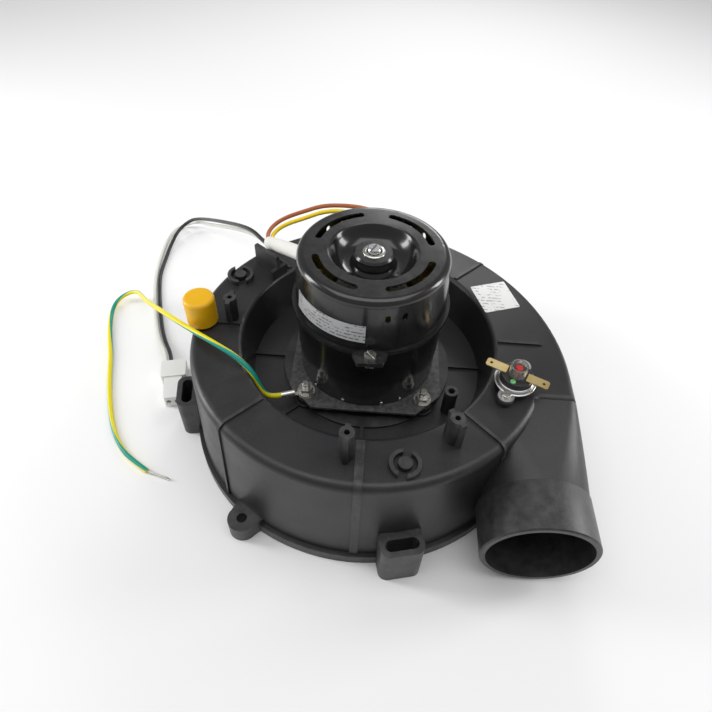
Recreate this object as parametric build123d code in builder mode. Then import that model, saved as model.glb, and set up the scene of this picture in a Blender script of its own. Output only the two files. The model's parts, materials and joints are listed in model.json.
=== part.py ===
from build123d import *
import math
import os

os.makedirs("parts", exist_ok=True)

# Furnace combustion fan. Origin: centre of the base plane on the motor axis, +Z up that axis,
# the outlet pipe points along -Y on the +X side. All sizes in millimetres.

# ---------------------------------------------------------------- driving dimensions
body_r = 118.0            # scroll wall outside, at the base
body_h = 80.0             # base plane to top face
wall = 3.0                # moulded wall
draft = 2.4               # degrees of mould draft on the outer wall
rim_fillet = 5.0          # rounding of the outer top edge
flange_proud = 2.5        # base flange beyond the wall
flange_h = 8.0
rebate_gap = 0.4          # back plate to its rebate, sideways
seat_w = 2.6              # ledge that the back plate gasket presses on
recess_r = 81.2           # motor recess, at the top face
recess_floor_r = 76.3
recess_floor_z = 51.6
recess_lip = 3.0
floor_ring_r = 52.0       # raised ring moulded on the recess floor
floor_ring_w = 8.0
floor_ring_h = 1.6
shaft_hole_r = 7.0

bulge_start = 60.0        # degrees, where the scroll leaves the circle
bulge_r = 144.7           # radius of the scroll's widening wall
loft_y = -45.0            # where the duct starts to turn round
outlet_x = 105.0
outlet_z = 37.0
outlet_bore_r = 30.3
outlet_neck_r = 32.8
outlet_collar_r = 33.7
outlet_end_y = -124.0
outlet_collar_l = 28.0
outlet_chamfer = 0.8
chamber_reach = 1.7       # the scroll's hollow runs this far into the duct's

rib_angles = (0, 45, 90, 135, 180, 225, 315)
rib_w = 2.2
rib_h = 1.2
wide_rib_angle = 270
wide_rib_w = 5.0

plate_t = 2.0             # back plate sheet
gasket_t = 1.0
inlet_r = 32.0
inlet_lip_h = 5.0
inlet_lip_t = 1.5

slot_lug_angles = (190.3, 283.0, 97.0)
slot_lug_r = 131.5        # outer face from the axis
slot_lug_w = 26.0
slot_lug_h = 33.0
slot_r = 124.5            # slot centre from the axis
slot_l = 20.0
slot_w = 7.0
hole_lug_angles = (235.5, 55.5)
hole_lug_pitch_r = 125.0
hole_lug_r = 9.0
hole_lug_h = 13.0
hole_lug_bore_r = 3.2

shell_r = 45.0            # lower motor shell
shell_t = 1.2
shell_foot_z = 60.0       # underside of the lower shell, on the mounting plate
shell_split_z = 112.0
shell_step_z = 79.5
shell_step = 0.6
shell_flange_r = 48.1
shell_flange_t = 1.4
drum_r = 46.2             # upper shell, at the split
drum_top_r = 44.3
cap_z = 147.8             # top of the motor
cap_edge = 4.6
cap_flat_r = 40.0
dish_r = 26.4
dish_z = 138.0
hub_r = 12.3
hub_z = 146.6
tab_angles = (272.0, 92.0)
tab_r = 56.0
tab_w = 20.0
tab_tip_w = 14.0
tab_bolt_r = 51.5
vent_r = 34.0
vent_w = 4.2
vent_span = 58.0
vent_angles = (45, 135, 225, 315)

mount_plate_half = 48.5
mount_plate_t = 1.6
mount_clip = 15.9         # corner cut, along each side
stud_xy = 37.0
stud_r = 2.4
isolator_r = 6.0

mount_plate_bore_r = 30.0
stud_l = 19.5
nut_r = 4.6
nut_h = 5.0
nut_flange_r = 5.5
nut_flange_t = 1.2
ring_t = 0.8              # ground ring terminal under one nut
ring_angle = 200.0
barrel_r = 2.1
barrel_start = 7.5
barrel_end = 16.0
tab_screw_r = 2.0
tab_screw_l = 6.5
tab_head_r = 3.4
tab_head_h = 2.6
tab_nut_r = 3.9
tab_nut_h = 2.4
side_vent_angles = (282.8, 295.2, 119.3, 132.0, 46.7, 60.1)
side_vent_z = 136.0
side_vent_l = 5.0
side_vent_w = 3.0
bushing_r = 6.2
bushing_l = 6.5

shaft_r = 3.97
shaft_bottom_z = 9.0
shaft_top_z = 149.4
bearing_gap = 0.03
bearing_r = 11.0
bearing_l = 8.0
seal_gap = 0.08
shell_hole_gap = 1.2
core_bottom_z = 86.0
core_top_z = 106.0
core_bore_r = 24.5
air_gap = 0.35
coil_mid_r = 33.5
coil_half = 6.0
coil_h = 20.0
coil_span = 76.0
end_ring_h = 4.0
washer_r = 9.0
fan_r = 24.0
fan_z = 113.0
fan_h = 8.0
fan_hub_r = 9.0
fan_blades = 8
slinger_r = 24.0
slinger_z = 53.6
slinger_h = 4.0
slinger_hub_r = 7.0
slinger_blades = 8

impeller_r = 70.0
impeller_bottom_z = 8.0
impeller_top_z = 42.0
impeller_eye_r = 38.0
impeller_hub_r = 10.0
blade_count = 10
blade_t = 1.8
blade_lean = 26.0         # degrees the blades trail from eye to rim
impeller_disc_t = 2.0
hub_recess = 4.0
clip_r = 8.0
clip_t = 1.6

switch_x = 90.0
switch_y = -36.2
switch_axis = 62.0        # degrees, line through its two screws
switch_hole = 14.0        # screw from the centre
switch_pad_h = 3.5
switch_pad_r = 11.5
switch_ear_r = 5.2
switch_r = 9.5
blade_axis = -26.0
blade_span = 38.7
blade_w = 6.35
switch_body_z = 85.1
switch_body_h = 5.9
switch_gasket_t = 0.8
switch_flange_t = 0.8
terminal_t = 0.8
terminal_start = 6.2      # inner end of each blade from the switch centre
button_r = 2.2
button_gap = 0.05
button_bottom_z = 88.0
button_travel = 1.5
button_top_z = 97.0
guard_r = 5.2
guard_bore_r = 4.4
guard_h = 7.5
switch_head_r = 2.9
switch_head_h = 1.9
switch_screw_l = 9.0

port_x = -109.0
port_y = 1.0
port_r = 6.6
port_bore_r = 3.6
port_h = 16.0
port_cap_r = 10.0
port_cap_h = 21.0
port_cap_z = 81.6
port_cap_top_t = 5.1
cap_wall_gap = 0.06

label_x = 86.6
label_y = 43.5
label_turn = 19.0
label_w = 26.0
label_l = 27.0
label_t = 0.2
motor_label_start = 205.0
motor_label_span = 63.0
motor_label_z = 119.0
motor_label_h = 12.0
motor_label_t = 0.15

cap_box_x = 2.0           # run capacitor, centre
cap_box_y = 97.5
cap_box_w = 32.0
cap_box_d = 12.0
cap_box_z = 81.3          # clears the housing's rib
cap_box_top_z = 98.0
cap_ear_l = 8.0
cap_ear_w = 9.0
cap_ear_t = 3.2
cap_screw_r = 1.5
cap_screw_head_r = 2.8
cap_screw_head_h = 1.8
cap_screw_l = 7.0
cap_tabs = ((-7.0, 95.5), (8.0, 99.5))
cap_tab_w = 6.35
cap_tab_h = 8.0
receptacle_l = 9.5
receptacle_d = 3.6
receptacle_h = 7.5

plug_x = -146.7           # power connector: wire block, then the narrower nose
plug_y = 14.7
plug_turn = -77.3
plug_l = 16.0
plug_w = 18.5
plug_h = 12.0
nose_l = 20.0
nose_w = 12.5
nose_h = 10.0
contact_r = 1.0
contact_bore_r = 1.9
contact_pitch = 6.0
contact_l = 14.0

floor_rib_angles = (0, 45, 90, 135, 180, 225, 270)
boss_r = 7.0              # isolator bosses under the motor
boss_top_z = 54.0
stud_blind = 1.4          # floor left under each stud
port_boss_l = 14.0
twist_bosses = ((-93.0, 46.0, 20.0), (24.7, -98.0, -10.0))  # x, y, turn
twist_r = 9.0
twist_wall = 2.2
twist_gap = 5.0
twist_pin_r = 4.0
twist_h = 3.5
# x, y, turn of the web, foot height, height, web length
screw_posts = (
    (-90.4, 5.8, 86.0, 80.0, 18.0, 13.0),
    (-7.5, -94.5, 86.0, 80.0, 23.0, 11.0),
    (54.0, -37.0, 0.0, 51.6, 20.0, 0.0),
    (51.0, -79.0, -57.0, 80.0, 21.0, 13.0),
)
post_r = 4.2
post_web_t = 3.0
post_bore_r = 1.6
post_bore_l = 10.0
guide_angle = 142.5       # lead guide on the top face
guide_mid_r = 95.0
guide_l = 22.0
guide_t = 3.0
guide_h = 16.0
guide_foot = 14.0
guide_foot_h = 7.0
rebate_inset = 1.0
gasket_in = 14.0
plate_screw_l = 11.5
switch_screw_r = 1.7
plate_screw_pitch_r = 110.0
plate_screw_angles = (40, 95, 150, 205, 255, 300)
plate_screw_boss_r = 5.0
plate_screw_boss_h = 14.0
plate_screw_r = 1.6
plate_screw_head_r = 3.2
plate_screw_head_h = 1.6
plate_screw_bite = 9.0

lead_d = 3.1
ground_d = 3.4
strand_d = 1.8
sleeve_d = 9.5
fit = 0.05                # clearance between pieces that only touch

# centre lines of the cords: corner points that the bends round off
sleeve_route = (
    (-39.5, 19.5, 123.0), (-50.0, 31.5, 117.5), (-64.5, 56.0, 102.0), (-77.0, 79.0, 86.5),
)
black_route = (
    (-77.8, 75.6, 88.0), (-81.2, 80.4, 84.9), (-91.5, 93.6, 84.6), (-104.0, 110.0, 77.0),
    (-127.8, 139.9, 58.0), (-151.0, 171.0, 37.0), (-169.5, 194.0, 20.5), (-181.5, 201.0, 13.0),
    (-191.8, 192.0, 7.0), (-194.8, 174.5, 3.0), (-194.6, 154.0, 1.6), (-193.4, 132.5, 1.6),
    (-187.6, 110.0, 1.6), (-177.0, 77.5, 1.6), (-166.8, 52.4, 2.5), (-153.5, 31.0, 5.6),
    (-151.0, 19.9, 6.0),
)
white_route = (
    (-75.2, 75.7, 86.0), (-78.2, 80.9, 82.8), (-89.5, 94.5, 80.3), (-106.3, 115.7, 69.0),
    (-130.6, 147.2, 48.0), (-154.5, 177.0, 27.0), (-169.5, 198.0, 13.5), (-182.5, 208.0, 5.2),
    (-195.0, 204.5, 1.8), (-200.6, 190.0, 1.6), (-200.4, 163.0, 1.6), (-197.4, 134.0, 1.6),
    (-191.6, 109.2, 1.6), (-181.0, 77.0, 1.6), (-170.8, 51.6, 2.5), (-157.2, 30.6, 5.6),
    (-154.5, 19.1, 6.0),
)
yellow_route = (
    (-73.8, 77.8, 88.0), (-76.8, 83.3, 84.4), (-77.7, 90.6, 84.0), (-74.3, 97.1, 85.9),
    (-66.6, 100.4, 89.3), (-54.0, 101.0, 94.5), (-41.0, 101.0, 101.0), (-28.0, 100.5, 103.6),
    (-19.0, 98.0, 104.0), (-11.5, 95.5, 103.5),
)
brown_route = (
    (-76.4, 77.7, 90.0), (-79.7, 83.8, 86.2), (-80.8, 92.7, 86.0), (-76.5, 100.8, 88.2),
    (-67.6, 104.8, 92.2), (-54.0, 106.2, 97.5), (-41.0, 106.2, 103.0), (-26.0, 105.5, 105.0),
    (-11.0, 103.8, 105.4), (-3.0, 101.2, 104.5), (4.0, 99.5, 103.5),
)
ground_route = (
    (-50.5, -41.9, 62.2), (-56.6, -44.1, 62.2), (-62.0, -45.0, 65.8), (-65.0, -43.6, 72.0),
    (-69.0, -40.5, 81.2), (-79.5, -34.5, 87.3), (-92.4, -27.4, 88.6), (-114.1, -12.5, 85.5),
    (-143.5, 16.5, 70.5), (-170.6, 50.6, 45.5), (-186.5, 75.5, 27.5), (-199.6, 94.8, 13.0),
    (-208.6, 98.6, 8.0), (-216.8, 94.6, 4.6), (-220.2, 84.6, 2.4), (-216.4, 66.0, 1.9),
    (-210.0, 47.5, 1.9), (-203.2, 30.5, 1.9), (-196.0, 6.2, 1.9), (-187.3, -17.0, 1.9),
    (-177.8, -37.7, 1.9), (-166.9, -52.8, 1.9), (-155.4, -62.3, 1.9), (-143.3, -69.2, 1.9),
)
strand_route = ((-144.0, -68.9, 1.9), (-135.4, -71.6, 1.5), (-126.7, -73.5, 1.0))

# ---------------------------------------------------------------- shared outlines
duct_shares = (0.0, 0.33, 0.68, 1.0)
duct_front_y = outlet_end_y + outlet_collar_l
outlet_plane = Plane((outlet_x, duct_front_y, outlet_z), x_dir=(1, 0, 0), z_dir=(0, -1, 0))
lean_out = body_h * math.tan(math.radians(draft))
bulge_shift = bulge_r - body_r
bulge_cx = -bulge_shift * math.cos(math.radians(bulge_start))
bulge_cy = -bulge_shift * math.sin(math.radians(bulge_start))


def polar(radius, angle, z=None):
    x = radius * math.cos(math.radians(angle))
    y = radius * math.sin(math.radians(angle))
    return (x, y) if z is None else (x, y, z)


def switch_ear(side):
    """Screw position of the limit switch, on either side of its centre."""
    x, y = polar(switch_hole, switch_axis)
    return (switch_x + side * x, switch_y + side * y)


def scroll_plan(inset, end_inset=0.0):
    """Plan of the scroll, drawn in by inset: a circle that widens towards the outlet."""
    r = bulge_r - inset
    half = bulge_start / 2
    start = (bulge_cx + r * math.cos(math.radians(bulge_start)),
             bulge_cy + r * math.sin(math.radians(bulge_start)))
    middle = (bulge_cx + r * math.cos(math.radians(half)),
              bulge_cy + r * math.sin(math.radians(half)))
    widest = (bulge_cx + r, bulge_cy)
    end_y = loft_y + end_inset
    with BuildSketch() as plan:
        Circle(body_r - inset)
        with BuildLine():
            ThreePointArc(start, middle, widest)
            Polyline(widest, (widest[0], end_y), (outlet_x / 2, end_y), (0, 0), start)
        make_face()
    return plan.sketch


def duct_section(inset, share):
    """One cross-section of the duct: square shouldered at share 0, round at share 1."""
    r = outlet_neck_r - inset
    side = bulge_cx + bulge_r - inset
    inner = outlet_x - r
    lean = body_h * math.tan(math.radians(draft)) * (1 - share)
    right = side * (1 - share) + (outlet_x + r) * share
    low = inset * (1 - share) + (outlet_z - r) * share
    high = (body_h - inset) * (1 - share) + (outlet_z + r) * share
    corner = rim_fillet * (1 - share) + r * share * 0.999
    y = loft_y * (1 - share) + duct_front_y * share
    with BuildSketch(Plane((0, y, 0), x_dir=(1, 0, 0), z_dir=(0, -1, 0))) as section:
        with BuildLine():
            Polyline((inner, low), (right, low), (right - lean, high), (inner, high), close=True)
        make_face()
        fillet(section.vertices(), corner)
    return section.sketch


def bend_radii(name, points):
    """Largest radius that each corner's two runs allow, printed for a check by eye."""
    radii = []
    for before, here, after in zip(points, points[1:], points[2:]):
        run_in = Vector(*here) - Vector(*before)
        run_out = Vector(*after) - Vector(*here)
        turn = math.radians(run_in.get_angle(run_out))
        radii.append(0.45 * min(run_in.length, run_out.length) / math.tan(turn / 2))
    print(name, "bend radii", [round(radius, 1) for radius in radii])
    return radii


def start_plane(points):
    """Plane across the start of a cord's route."""
    return Plane(points[0], z_dir=Vector(*points[1]) - Vector(*points[0]))


top_r = body_r - lean_out
corner_reach = (rim_fillet + rib_h) * math.sin(math.radians(45))
chamber_z = plate_t + gasket_t
floor_rib_in = floor_ring_r + floor_ring_w / 2 - 0.5
floor_rib_mid = (floor_rib_in + recess_floor_r + 1) / 2
floor_rib_l = recess_floor_r + 1 - floor_rib_in
plate_screw_points = [polar(plate_screw_pitch_r, angle) for angle in plate_screw_angles]
cap_screw_points = [(cap_box_x + side * (cap_box_w + cap_ear_l) / 2, cap_box_y) for side in (-1, 1)]
ears = [switch_ear(side) for side in (-1, 1)]


def arc_about_axis(radius, middle, span):
    """Arc on the motor axis, as a centre line for slots and coils."""
    return ThreePointArc(polar(radius, middle - span / 2), polar(radius, middle),
                         polar(radius, middle + span / 2), mode=Mode.PRIVATE)


def blade_arc(angle):
    """Centre line of one impeller blade, trailing from the eye to the rim."""
    span = impeller_r - impeller_eye_r
    return ThreePointArc(polar(impeller_eye_r + 3, angle),
                         polar(impeller_eye_r + span * 0.5, angle - blade_lean * 0.38),
                         polar(impeller_r - 1.5, angle - blade_lean), mode=Mode.PRIVATE)


vent_arcs = [arc_about_axis(vent_r, angle, vent_span) for angle in vent_angles]
coil_arcs = [arc_about_axis(coil_mid_r, angle, coil_span) for angle in vent_angles]
blade_arcs = [blade_arc(blade * 360 / blade_count) for blade in range(blade_count)]

# ---------------------------------------------------------------- blower housing
with BuildPart() as duct_hollow:
    for share in duct_shares:
        add(duct_section(wall, share))
    loft()
    with BuildSketch(outlet_plane.offset(-4)):
        Circle(outlet_bore_r)
    extrude(amount=outlet_collar_l + 5)

with BuildPart() as chamber:
    with BuildSketch(Plane.XY.offset(chamber_z)):
        add(scroll_plan(wall + seat_w / 2, -lean_out - chamber_reach))
    extrude(amount=body_h - wall - chamber_z, taper=draft)
    add(duct_hollow.part)
    with BuildSketch(Plane.XZ):
        with BuildLine():
            Polyline(
                (0, recess_floor_z - wall),
                (recess_floor_r + wall, recess_floor_z - wall),
                (recess_r + wall, body_h),
                (0, body_h),
                close=True,
            )
        make_face()
    revolve(axis=Axis.Z, mode=Mode.SUBTRACT)
    with BuildSketch(Plane.XY.offset(chamber_z)):
        for x, y in plate_screw_points:
            with Locations((x, y)):
                Circle(plate_screw_boss_r)
    extrude(amount=plate_screw_boss_h, mode=Mode.SUBTRACT)

with BuildPart() as rib_bars:
    for angle in rib_angles:
        with BuildSketch(Plane.XY.offset(flange_h)):
            with Locations(Location(polar(body_r * 0.85, angle, 0), (0, 0, angle))):
                Rectangle(body_r * 0.5, rib_w)
        extrude(amount=body_h)
    with BuildSketch(Plane.XY.offset(flange_h)):
        with Locations(Location(polar(body_r * 0.85, wide_rib_angle, 0), (0, 0, wide_rib_angle))):
            Rectangle(body_r * 0.5, wide_rib_w)
    extrude(amount=body_h)

with BuildPart() as rib_skin:
    with BuildSketch(Plane.XZ):
        with BuildLine():
            Polyline(
                (top_r + rib_h, body_h - rim_fillet),
                (body_r + rib_h - 0.3, flange_h),
                (body_r - 1.5, flange_h),
                (top_r - 1.5, body_h - rim_fillet),
                (top_r - rim_fillet, body_h - 1.5),
                (recess_r + recess_lip, body_h - 1.5),
                (recess_r + recess_lip, body_h + rib_h),
                (top_r - rim_fillet, body_h + rib_h),
            )
            ThreePointArc(
                (top_r - rim_fillet, body_h + rib_h),
                (top_r - rim_fillet + corner_reach, body_h - rim_fillet + corner_reach),
                (top_r + rib_h, body_h - rim_fillet),
            )
        make_face()
    revolve(axis=Axis.Z)
    add(rib_bars.part, mode=Mode.INTERSECT)

with BuildPart() as duct_shell:
    for share in duct_shares:
        add(duct_section(0, share))
    loft()
    with BuildSketch(outlet_plane.offset(-2)):
        Circle(outlet_collar_r)
    extrude(amount=outlet_collar_l + 2)
    chamfer(duct_shell.faces().sort_by(Axis.Y)[0].edges(), outlet_chamfer)

with BuildPart() as blower_housing:
    with BuildSketch():
        add(scroll_plan(0, -lean_out))
    extrude(amount=body_h, taper=draft)
    top_edges = blower_housing.faces().sort_by(Axis.Z)[-1].edges()
    fillet(top_edges - top_edges.filter_by(Axis.X), rim_fillet)
    add(duct_shell.part)
    with BuildSketch():
        add(scroll_plan(-flange_proud))
    extrude(amount=flange_h)

    # mounting lugs, slotted ones tall and round-holed ones low
    with BuildSketch():
        for angle in slot_lug_angles:
            with Locations(Location(polar((body_r - 6 + slot_lug_r) / 2, angle, 0), (0, 0, angle))):
                RectangleRounded(slot_lug_r - body_r + 6, slot_lug_w, 5.5)
    extrude(amount=slot_lug_h)
    with BuildSketch():
        for angle in hole_lug_angles:
            with Locations(Location(polar(hole_lug_pitch_r, angle, 0), (0, 0, angle))):
                Circle(hole_lug_r)
            with Locations(Location(polar(hole_lug_pitch_r - 7, angle, 0), (0, 0, angle))):
                Trapezoid(2 * hole_lug_r + 6, 14, 78, rotation=-90)
    extrude(amount=hole_lug_h)

    # motor recess with its rounded lip, and the mouldings on its floor
    with BuildSketch(Plane.XZ):
        with BuildLine():
            Polyline(
                (recess_r + recess_lip, body_h),
                (recess_r + recess_lip, body_h + 5),
                (0, body_h + 5),
                (0, recess_floor_z),
                (recess_floor_r, recess_floor_z),
                (recess_r, body_h - recess_lip),
            )
            ThreePointArc(
                (recess_r, body_h - recess_lip),
                (recess_r + recess_lip * 0.293, body_h - recess_lip * 0.293),
                (recess_r + recess_lip, body_h),
            )
        make_face()
    revolve(axis=Axis.Z, mode=Mode.SUBTRACT)
    add(rib_skin.part)
    with BuildSketch(Plane.XY.offset(recess_floor_z - 1)):
        Circle(floor_ring_r + floor_ring_w / 2)
        Circle(floor_ring_r - floor_ring_w / 2, mode=Mode.SUBTRACT)
        for angle in floor_rib_angles:
            with Locations(Location(polar(floor_rib_mid, angle, 0), (0, 0, angle))):
                Rectangle(floor_rib_l, rib_w)
    extrude(amount=floor_ring_h + 1)
    with BuildSketch(Plane.XY.offset(recess_floor_z - 1)):
        with GridLocations(2 * stud_xy, 2 * stud_xy, 2, 2):
            Circle(boss_r)
    extrude(amount=boss_top_z - recess_floor_z + 1)

    # pad for the limit switch and the pressure port with its boss
    with BuildSketch(Plane.XY.offset(body_h - wall)):
        with Locations((switch_x, switch_y)):
            Circle(switch_pad_r)
        for side in (-1, 1):
            with Locations(switch_ear(side)):
                Circle(switch_ear_r)
            with Locations(Location((*switch_ear(side / 2), 0), (0, 0, switch_axis))):
                Rectangle(switch_hole, 2 * switch_ear_r)
    extrude(amount=wall + switch_pad_h)
    with BuildSketch(Plane.XY.offset(body_h - port_boss_l)):
        with Locations((port_x, port_y)):
            Circle(port_r + 2)
    extrude(amount=port_boss_l)
    with BuildSketch(Plane.XY.offset(body_h - port_boss_l)):
        with Locations((port_x, port_y)):
            Circle(port_r)
    extrude(amount=port_boss_l + port_h)

    # twist-lock bosses: a small disc inside two arc walls
    for x, y, turn in twist_bosses:
        with BuildSketch(Plane.XY.offset(body_h - 1)):
            with Locations(Location((x, y, 0), (0, 0, turn))):
                Circle(twist_r)
                Circle(twist_r - twist_wall, mode=Mode.SUBTRACT)
                Rectangle(twist_gap, 3 * twist_r, mode=Mode.SUBTRACT)
            with Locations((x, y)):
                Circle(twist_pin_r)
        extrude(amount=twist_h + 1)

    # screw posts with a web, standing on the top face and the recess floor
    for x, y, turn, foot, tall, web in screw_posts:
        with BuildSketch(Plane.XY.offset(foot - 1)):
            with Locations(Location((x, y, 0), (0, 0, turn))):
                Circle(post_r)
                if web > 0:
                    Rectangle(web, post_web_t)
        extrude(amount=tall + 1)
        with BuildSketch(Plane.XY.offset(foot + tall)):
            with Locations(Location((x, y, 0), (0, 0, turn))):
                if web > 0:
                    Circle(post_bore_r)
                else:
                    RegularPolygon(post_bore_r + 0.8, 6)
        extrude(amount=-post_bore_l, mode=Mode.SUBTRACT)

    # upright guide that keeps the leads off the motor
    with BuildSketch(Plane.XY.offset(body_h - 1)):
        with Locations(Location(polar(guide_mid_r, guide_angle, 0), (0, 0, guide_angle))):
            Rectangle(guide_l, guide_t)
    extrude(amount=guide_h + 1)
    with BuildSketch(Plane.XY.offset(body_h - 1)):
        with Locations(Location(polar(guide_mid_r - guide_l / 2, guide_angle, 0), (0, 0, guide_angle))):
            Rectangle(guide_t, guide_foot)
    extrude(amount=guide_foot_h + 1)

    # the hollow inside, and every opening into it
    add(chamber.part, mode=Mode.SUBTRACT)
    with BuildSketch():
        add(scroll_plan(rebate_inset))
    extrude(amount=plate_t + gasket_t, mode=Mode.SUBTRACT)
    with BuildSketch(Plane.XY.offset(recess_floor_z - wall)):
        Circle(shaft_hole_r)
    extrude(amount=2 * wall, mode=Mode.SUBTRACT)
    with BuildSketch(Plane.XY.offset(recess_floor_z - wall + stud_blind)):
        with GridLocations(2 * stud_xy, 2 * stud_xy, 2, 2):
            Circle(stud_r)
    extrude(amount=20, mode=Mode.SUBTRACT)
    with BuildSketch(Plane.XY.offset(body_h - port_boss_l - wall)):
        with Locations((port_x, port_y)):
            Circle(port_bore_r)
    extrude(amount=port_boss_l + port_h + 2 * wall, mode=Mode.SUBTRACT)
    with BuildSketch():
        for angle in hole_lug_angles:
            with Locations(polar(hole_lug_pitch_r, angle)):
                Circle(hole_lug_bore_r)
    extrude(amount=hole_lug_h, mode=Mode.SUBTRACT)
    with BuildSketch():
        for angle in slot_lug_angles:
            with Locations(Location(polar(slot_r, angle, 0), (0, 0, angle + 90))):
                SlotOverall(slot_l, slot_w)
    extrude(amount=slot_lug_h, mode=Mode.SUBTRACT)
    with BuildSketch(Plane.XY.offset(body_h - wall)):
        for side in (-1, 1):
            with Locations(switch_ear(side)):
                Circle(switch_screw_r)
    extrude(amount=wall + switch_pad_h, mode=Mode.SUBTRACT)
    with BuildSketch(Plane.XY.offset(body_h - 2 * wall)):
        with Locations(*cap_screw_points):
            Circle(cap_screw_r)
    extrude(amount=2 * wall, mode=Mode.SUBTRACT)
    with BuildSketch():
        for x, y in plate_screw_points:
            with Locations((x, y)):
                Circle(plate_screw_r)
    extrude(amount=plate_t + gasket_t + plate_screw_bite, mode=Mode.SUBTRACT)
blower_housing.part.label = "blower_housing"
export_step(blower_housing.part, "parts/blower_housing.step")

# ---------------------------------------------------------------- back plate and its fixings
with BuildPart() as back_plate:
    with BuildSketch():
        add(scroll_plan(rebate_inset + rebate_gap, rebate_gap))
    extrude(amount=plate_t)
    with BuildSketch():
        Circle(inlet_r + inlet_lip_t)
    extrude(amount=plate_t + inlet_lip_h)
    with BuildSketch():
        Circle(inlet_r)
        for x, y in plate_screw_points:
            with Locations((x, y)):
                Circle(plate_screw_r + rebate_gap)
    extrude(amount=plate_t + inlet_lip_h, mode=Mode.SUBTRACT)
    for x, y in plate_screw_points:
        with Locations((x, y, 0)):
            Cone(plate_screw_head_r + fit, plate_screw_r + fit, plate_screw_head_h + fit,
                 align=(Align.CENTER, Align.CENTER, Align.MIN), mode=Mode.SUBTRACT)
back_plate.part.label = "back_plate"
export_step(back_plate.part, "parts/back_plate.step")

with BuildPart() as back_plate_gasket:
    with BuildSketch(Plane.XY.offset(plate_t)):
        add(scroll_plan(rebate_inset + rebate_gap, rebate_gap))
        add(scroll_plan(gasket_in, gasket_in - rebate_inset), mode=Mode.SUBTRACT)
        for x, y in plate_screw_points:
            with Locations((x, y)):
                Circle(plate_screw_r + rebate_gap, mode=Mode.SUBTRACT)
    extrude(amount=gasket_t)
back_plate_gasket.part.label = "back_plate_gasket"
export_step(back_plate_gasket.part, "parts/back_plate_gasket.step")

with BuildPart() as back_plate_screws:
    for x, y in plate_screw_points:
        with Locations((x, y, 0)):
            Cone(plate_screw_head_r, plate_screw_r, plate_screw_head_h,
                 align=(Align.CENTER, Align.CENTER, Align.MIN))
            Cylinder(plate_screw_r, plate_screw_l, align=(Align.CENTER, Align.CENTER, Align.MIN))
            Box(2 * plate_screw_head_r - 2, 0.8, 0.8, align=(Align.CENTER, Align.CENTER, Align.MIN),
                mode=Mode.SUBTRACT)
back_plate_screws.part.label = "back_plate_screws"
export_step(back_plate_screws.part, "parts/back_plate_screws.step")

with BuildPart() as shaft_seal:
    with BuildSketch(Plane.XY.offset(recess_floor_z - wall)):
        Circle(shaft_hole_r - fit)
        Circle(shaft_r + seal_gap, mode=Mode.SUBTRACT)
    extrude(amount=wall)
    with BuildSketch(Plane.XY.offset(recess_floor_z)):
        Circle(shaft_hole_r + 2.5)
        Circle(shaft_r + seal_gap, mode=Mode.SUBTRACT)
    extrude(amount=1.0)
shaft_seal.part.label = "shaft_seal"
export_step(shaft_seal.part, "parts/shaft_seal.step")

# ---------------------------------------------------------------- motor mounting
plate_under_z = shell_foot_z - mount_plate_t

with BuildPart() as motor_mount_plate:
    with BuildSketch(Plane.XY.offset(plate_under_z)) as mount_outline:
        Rectangle(2 * mount_plate_half, 2 * mount_plate_half)
        chamfer(mount_outline.vertices(), mount_clip)
        Circle(mount_plate_bore_r, mode=Mode.SUBTRACT)
        with GridLocations(2 * stud_xy, 2 * stud_xy, 2, 2):
            Circle(stud_r + 2 * fit, mode=Mode.SUBTRACT)
    extrude(amount=mount_plate_t)
motor_mount_plate.part.label = "motor_mount_plate"
export_step(motor_mount_plate.part, "parts/motor_mount_plate.step")

with BuildPart() as rubber_isolators:
    with BuildSketch(Plane.XY.offset(boss_top_z)):
        with GridLocations(2 * stud_xy, 2 * stud_xy, 2, 2):
            Circle(isolator_r)
            Circle(stud_r + fit, mode=Mode.SUBTRACT)
    extrude(amount=plate_under_z - boss_top_z)
rubber_isolators.part.label = "rubber_isolators"
export_step(rubber_isolators.part, "parts/rubber_isolators.step")

with BuildPart() as mount_studs:
    with BuildSketch(Plane.XY.offset(recess_floor_z - wall + stud_blind)):
        with GridLocations(2 * stud_xy, 2 * stud_xy, 2, 2):
            Circle(stud_r - 0.01)
    extrude(amount=stud_l)
    chamfer(mount_studs.edges().group_by(Axis.Z)[-1], 0.5)
mount_studs.part.label = "mount_studs"
export_step(mount_studs.part, "parts/mount_studs.step")

with BuildPart() as flange_nuts:
    for x_side in (-1, 1):
        for y_side in (-1, 1):
            x = x_side * stud_xy
            y = y_side * stud_xy
            on_ring = ring_t if (x_side, y_side) == (-1, -1) else 0.0
            with BuildSketch(Plane.XY.offset(shell_foot_z + on_ring)):
                with Locations((x, y)):
                    Circle(nut_flange_r)
            extrude(amount=nut_flange_t)
            with BuildSketch(Plane.XY.offset(shell_foot_z + on_ring)):
                with Locations((x, y)):
                    RegularPolygon(nut_r, 6)
            extrude(amount=nut_h)
            with BuildSketch(Plane.XY.offset(shell_foot_z + on_ring)):
                with Locations((x, y)):
                    Circle(stud_r)
            extrude(amount=nut_h, mode=Mode.SUBTRACT)
flange_nuts.part.label = "flange_nuts"
export_step(flange_nuts.part, "parts/flange_nuts.step")

# ---------------------------------------------------------------- motor shells
tab_outline = [
    (shell_r - 1.5, -tab_w / 2), (shell_flange_r + 1, -tab_w / 2), (tab_r, -tab_tip_w / 2),
    (tab_r, tab_tip_w / 2), (shell_flange_r + 1, tab_w / 2), (shell_r - 1.5, tab_w / 2),
]
drum_slope = (drum_r - drum_top_r) / (cap_z - cap_edge - shell_split_z - shell_flange_t)


def drum_at(z):
    """Outside radius of the upper shell's drum at a height."""
    return drum_r - drum_slope * (z - shell_split_z - shell_flange_t)


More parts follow.
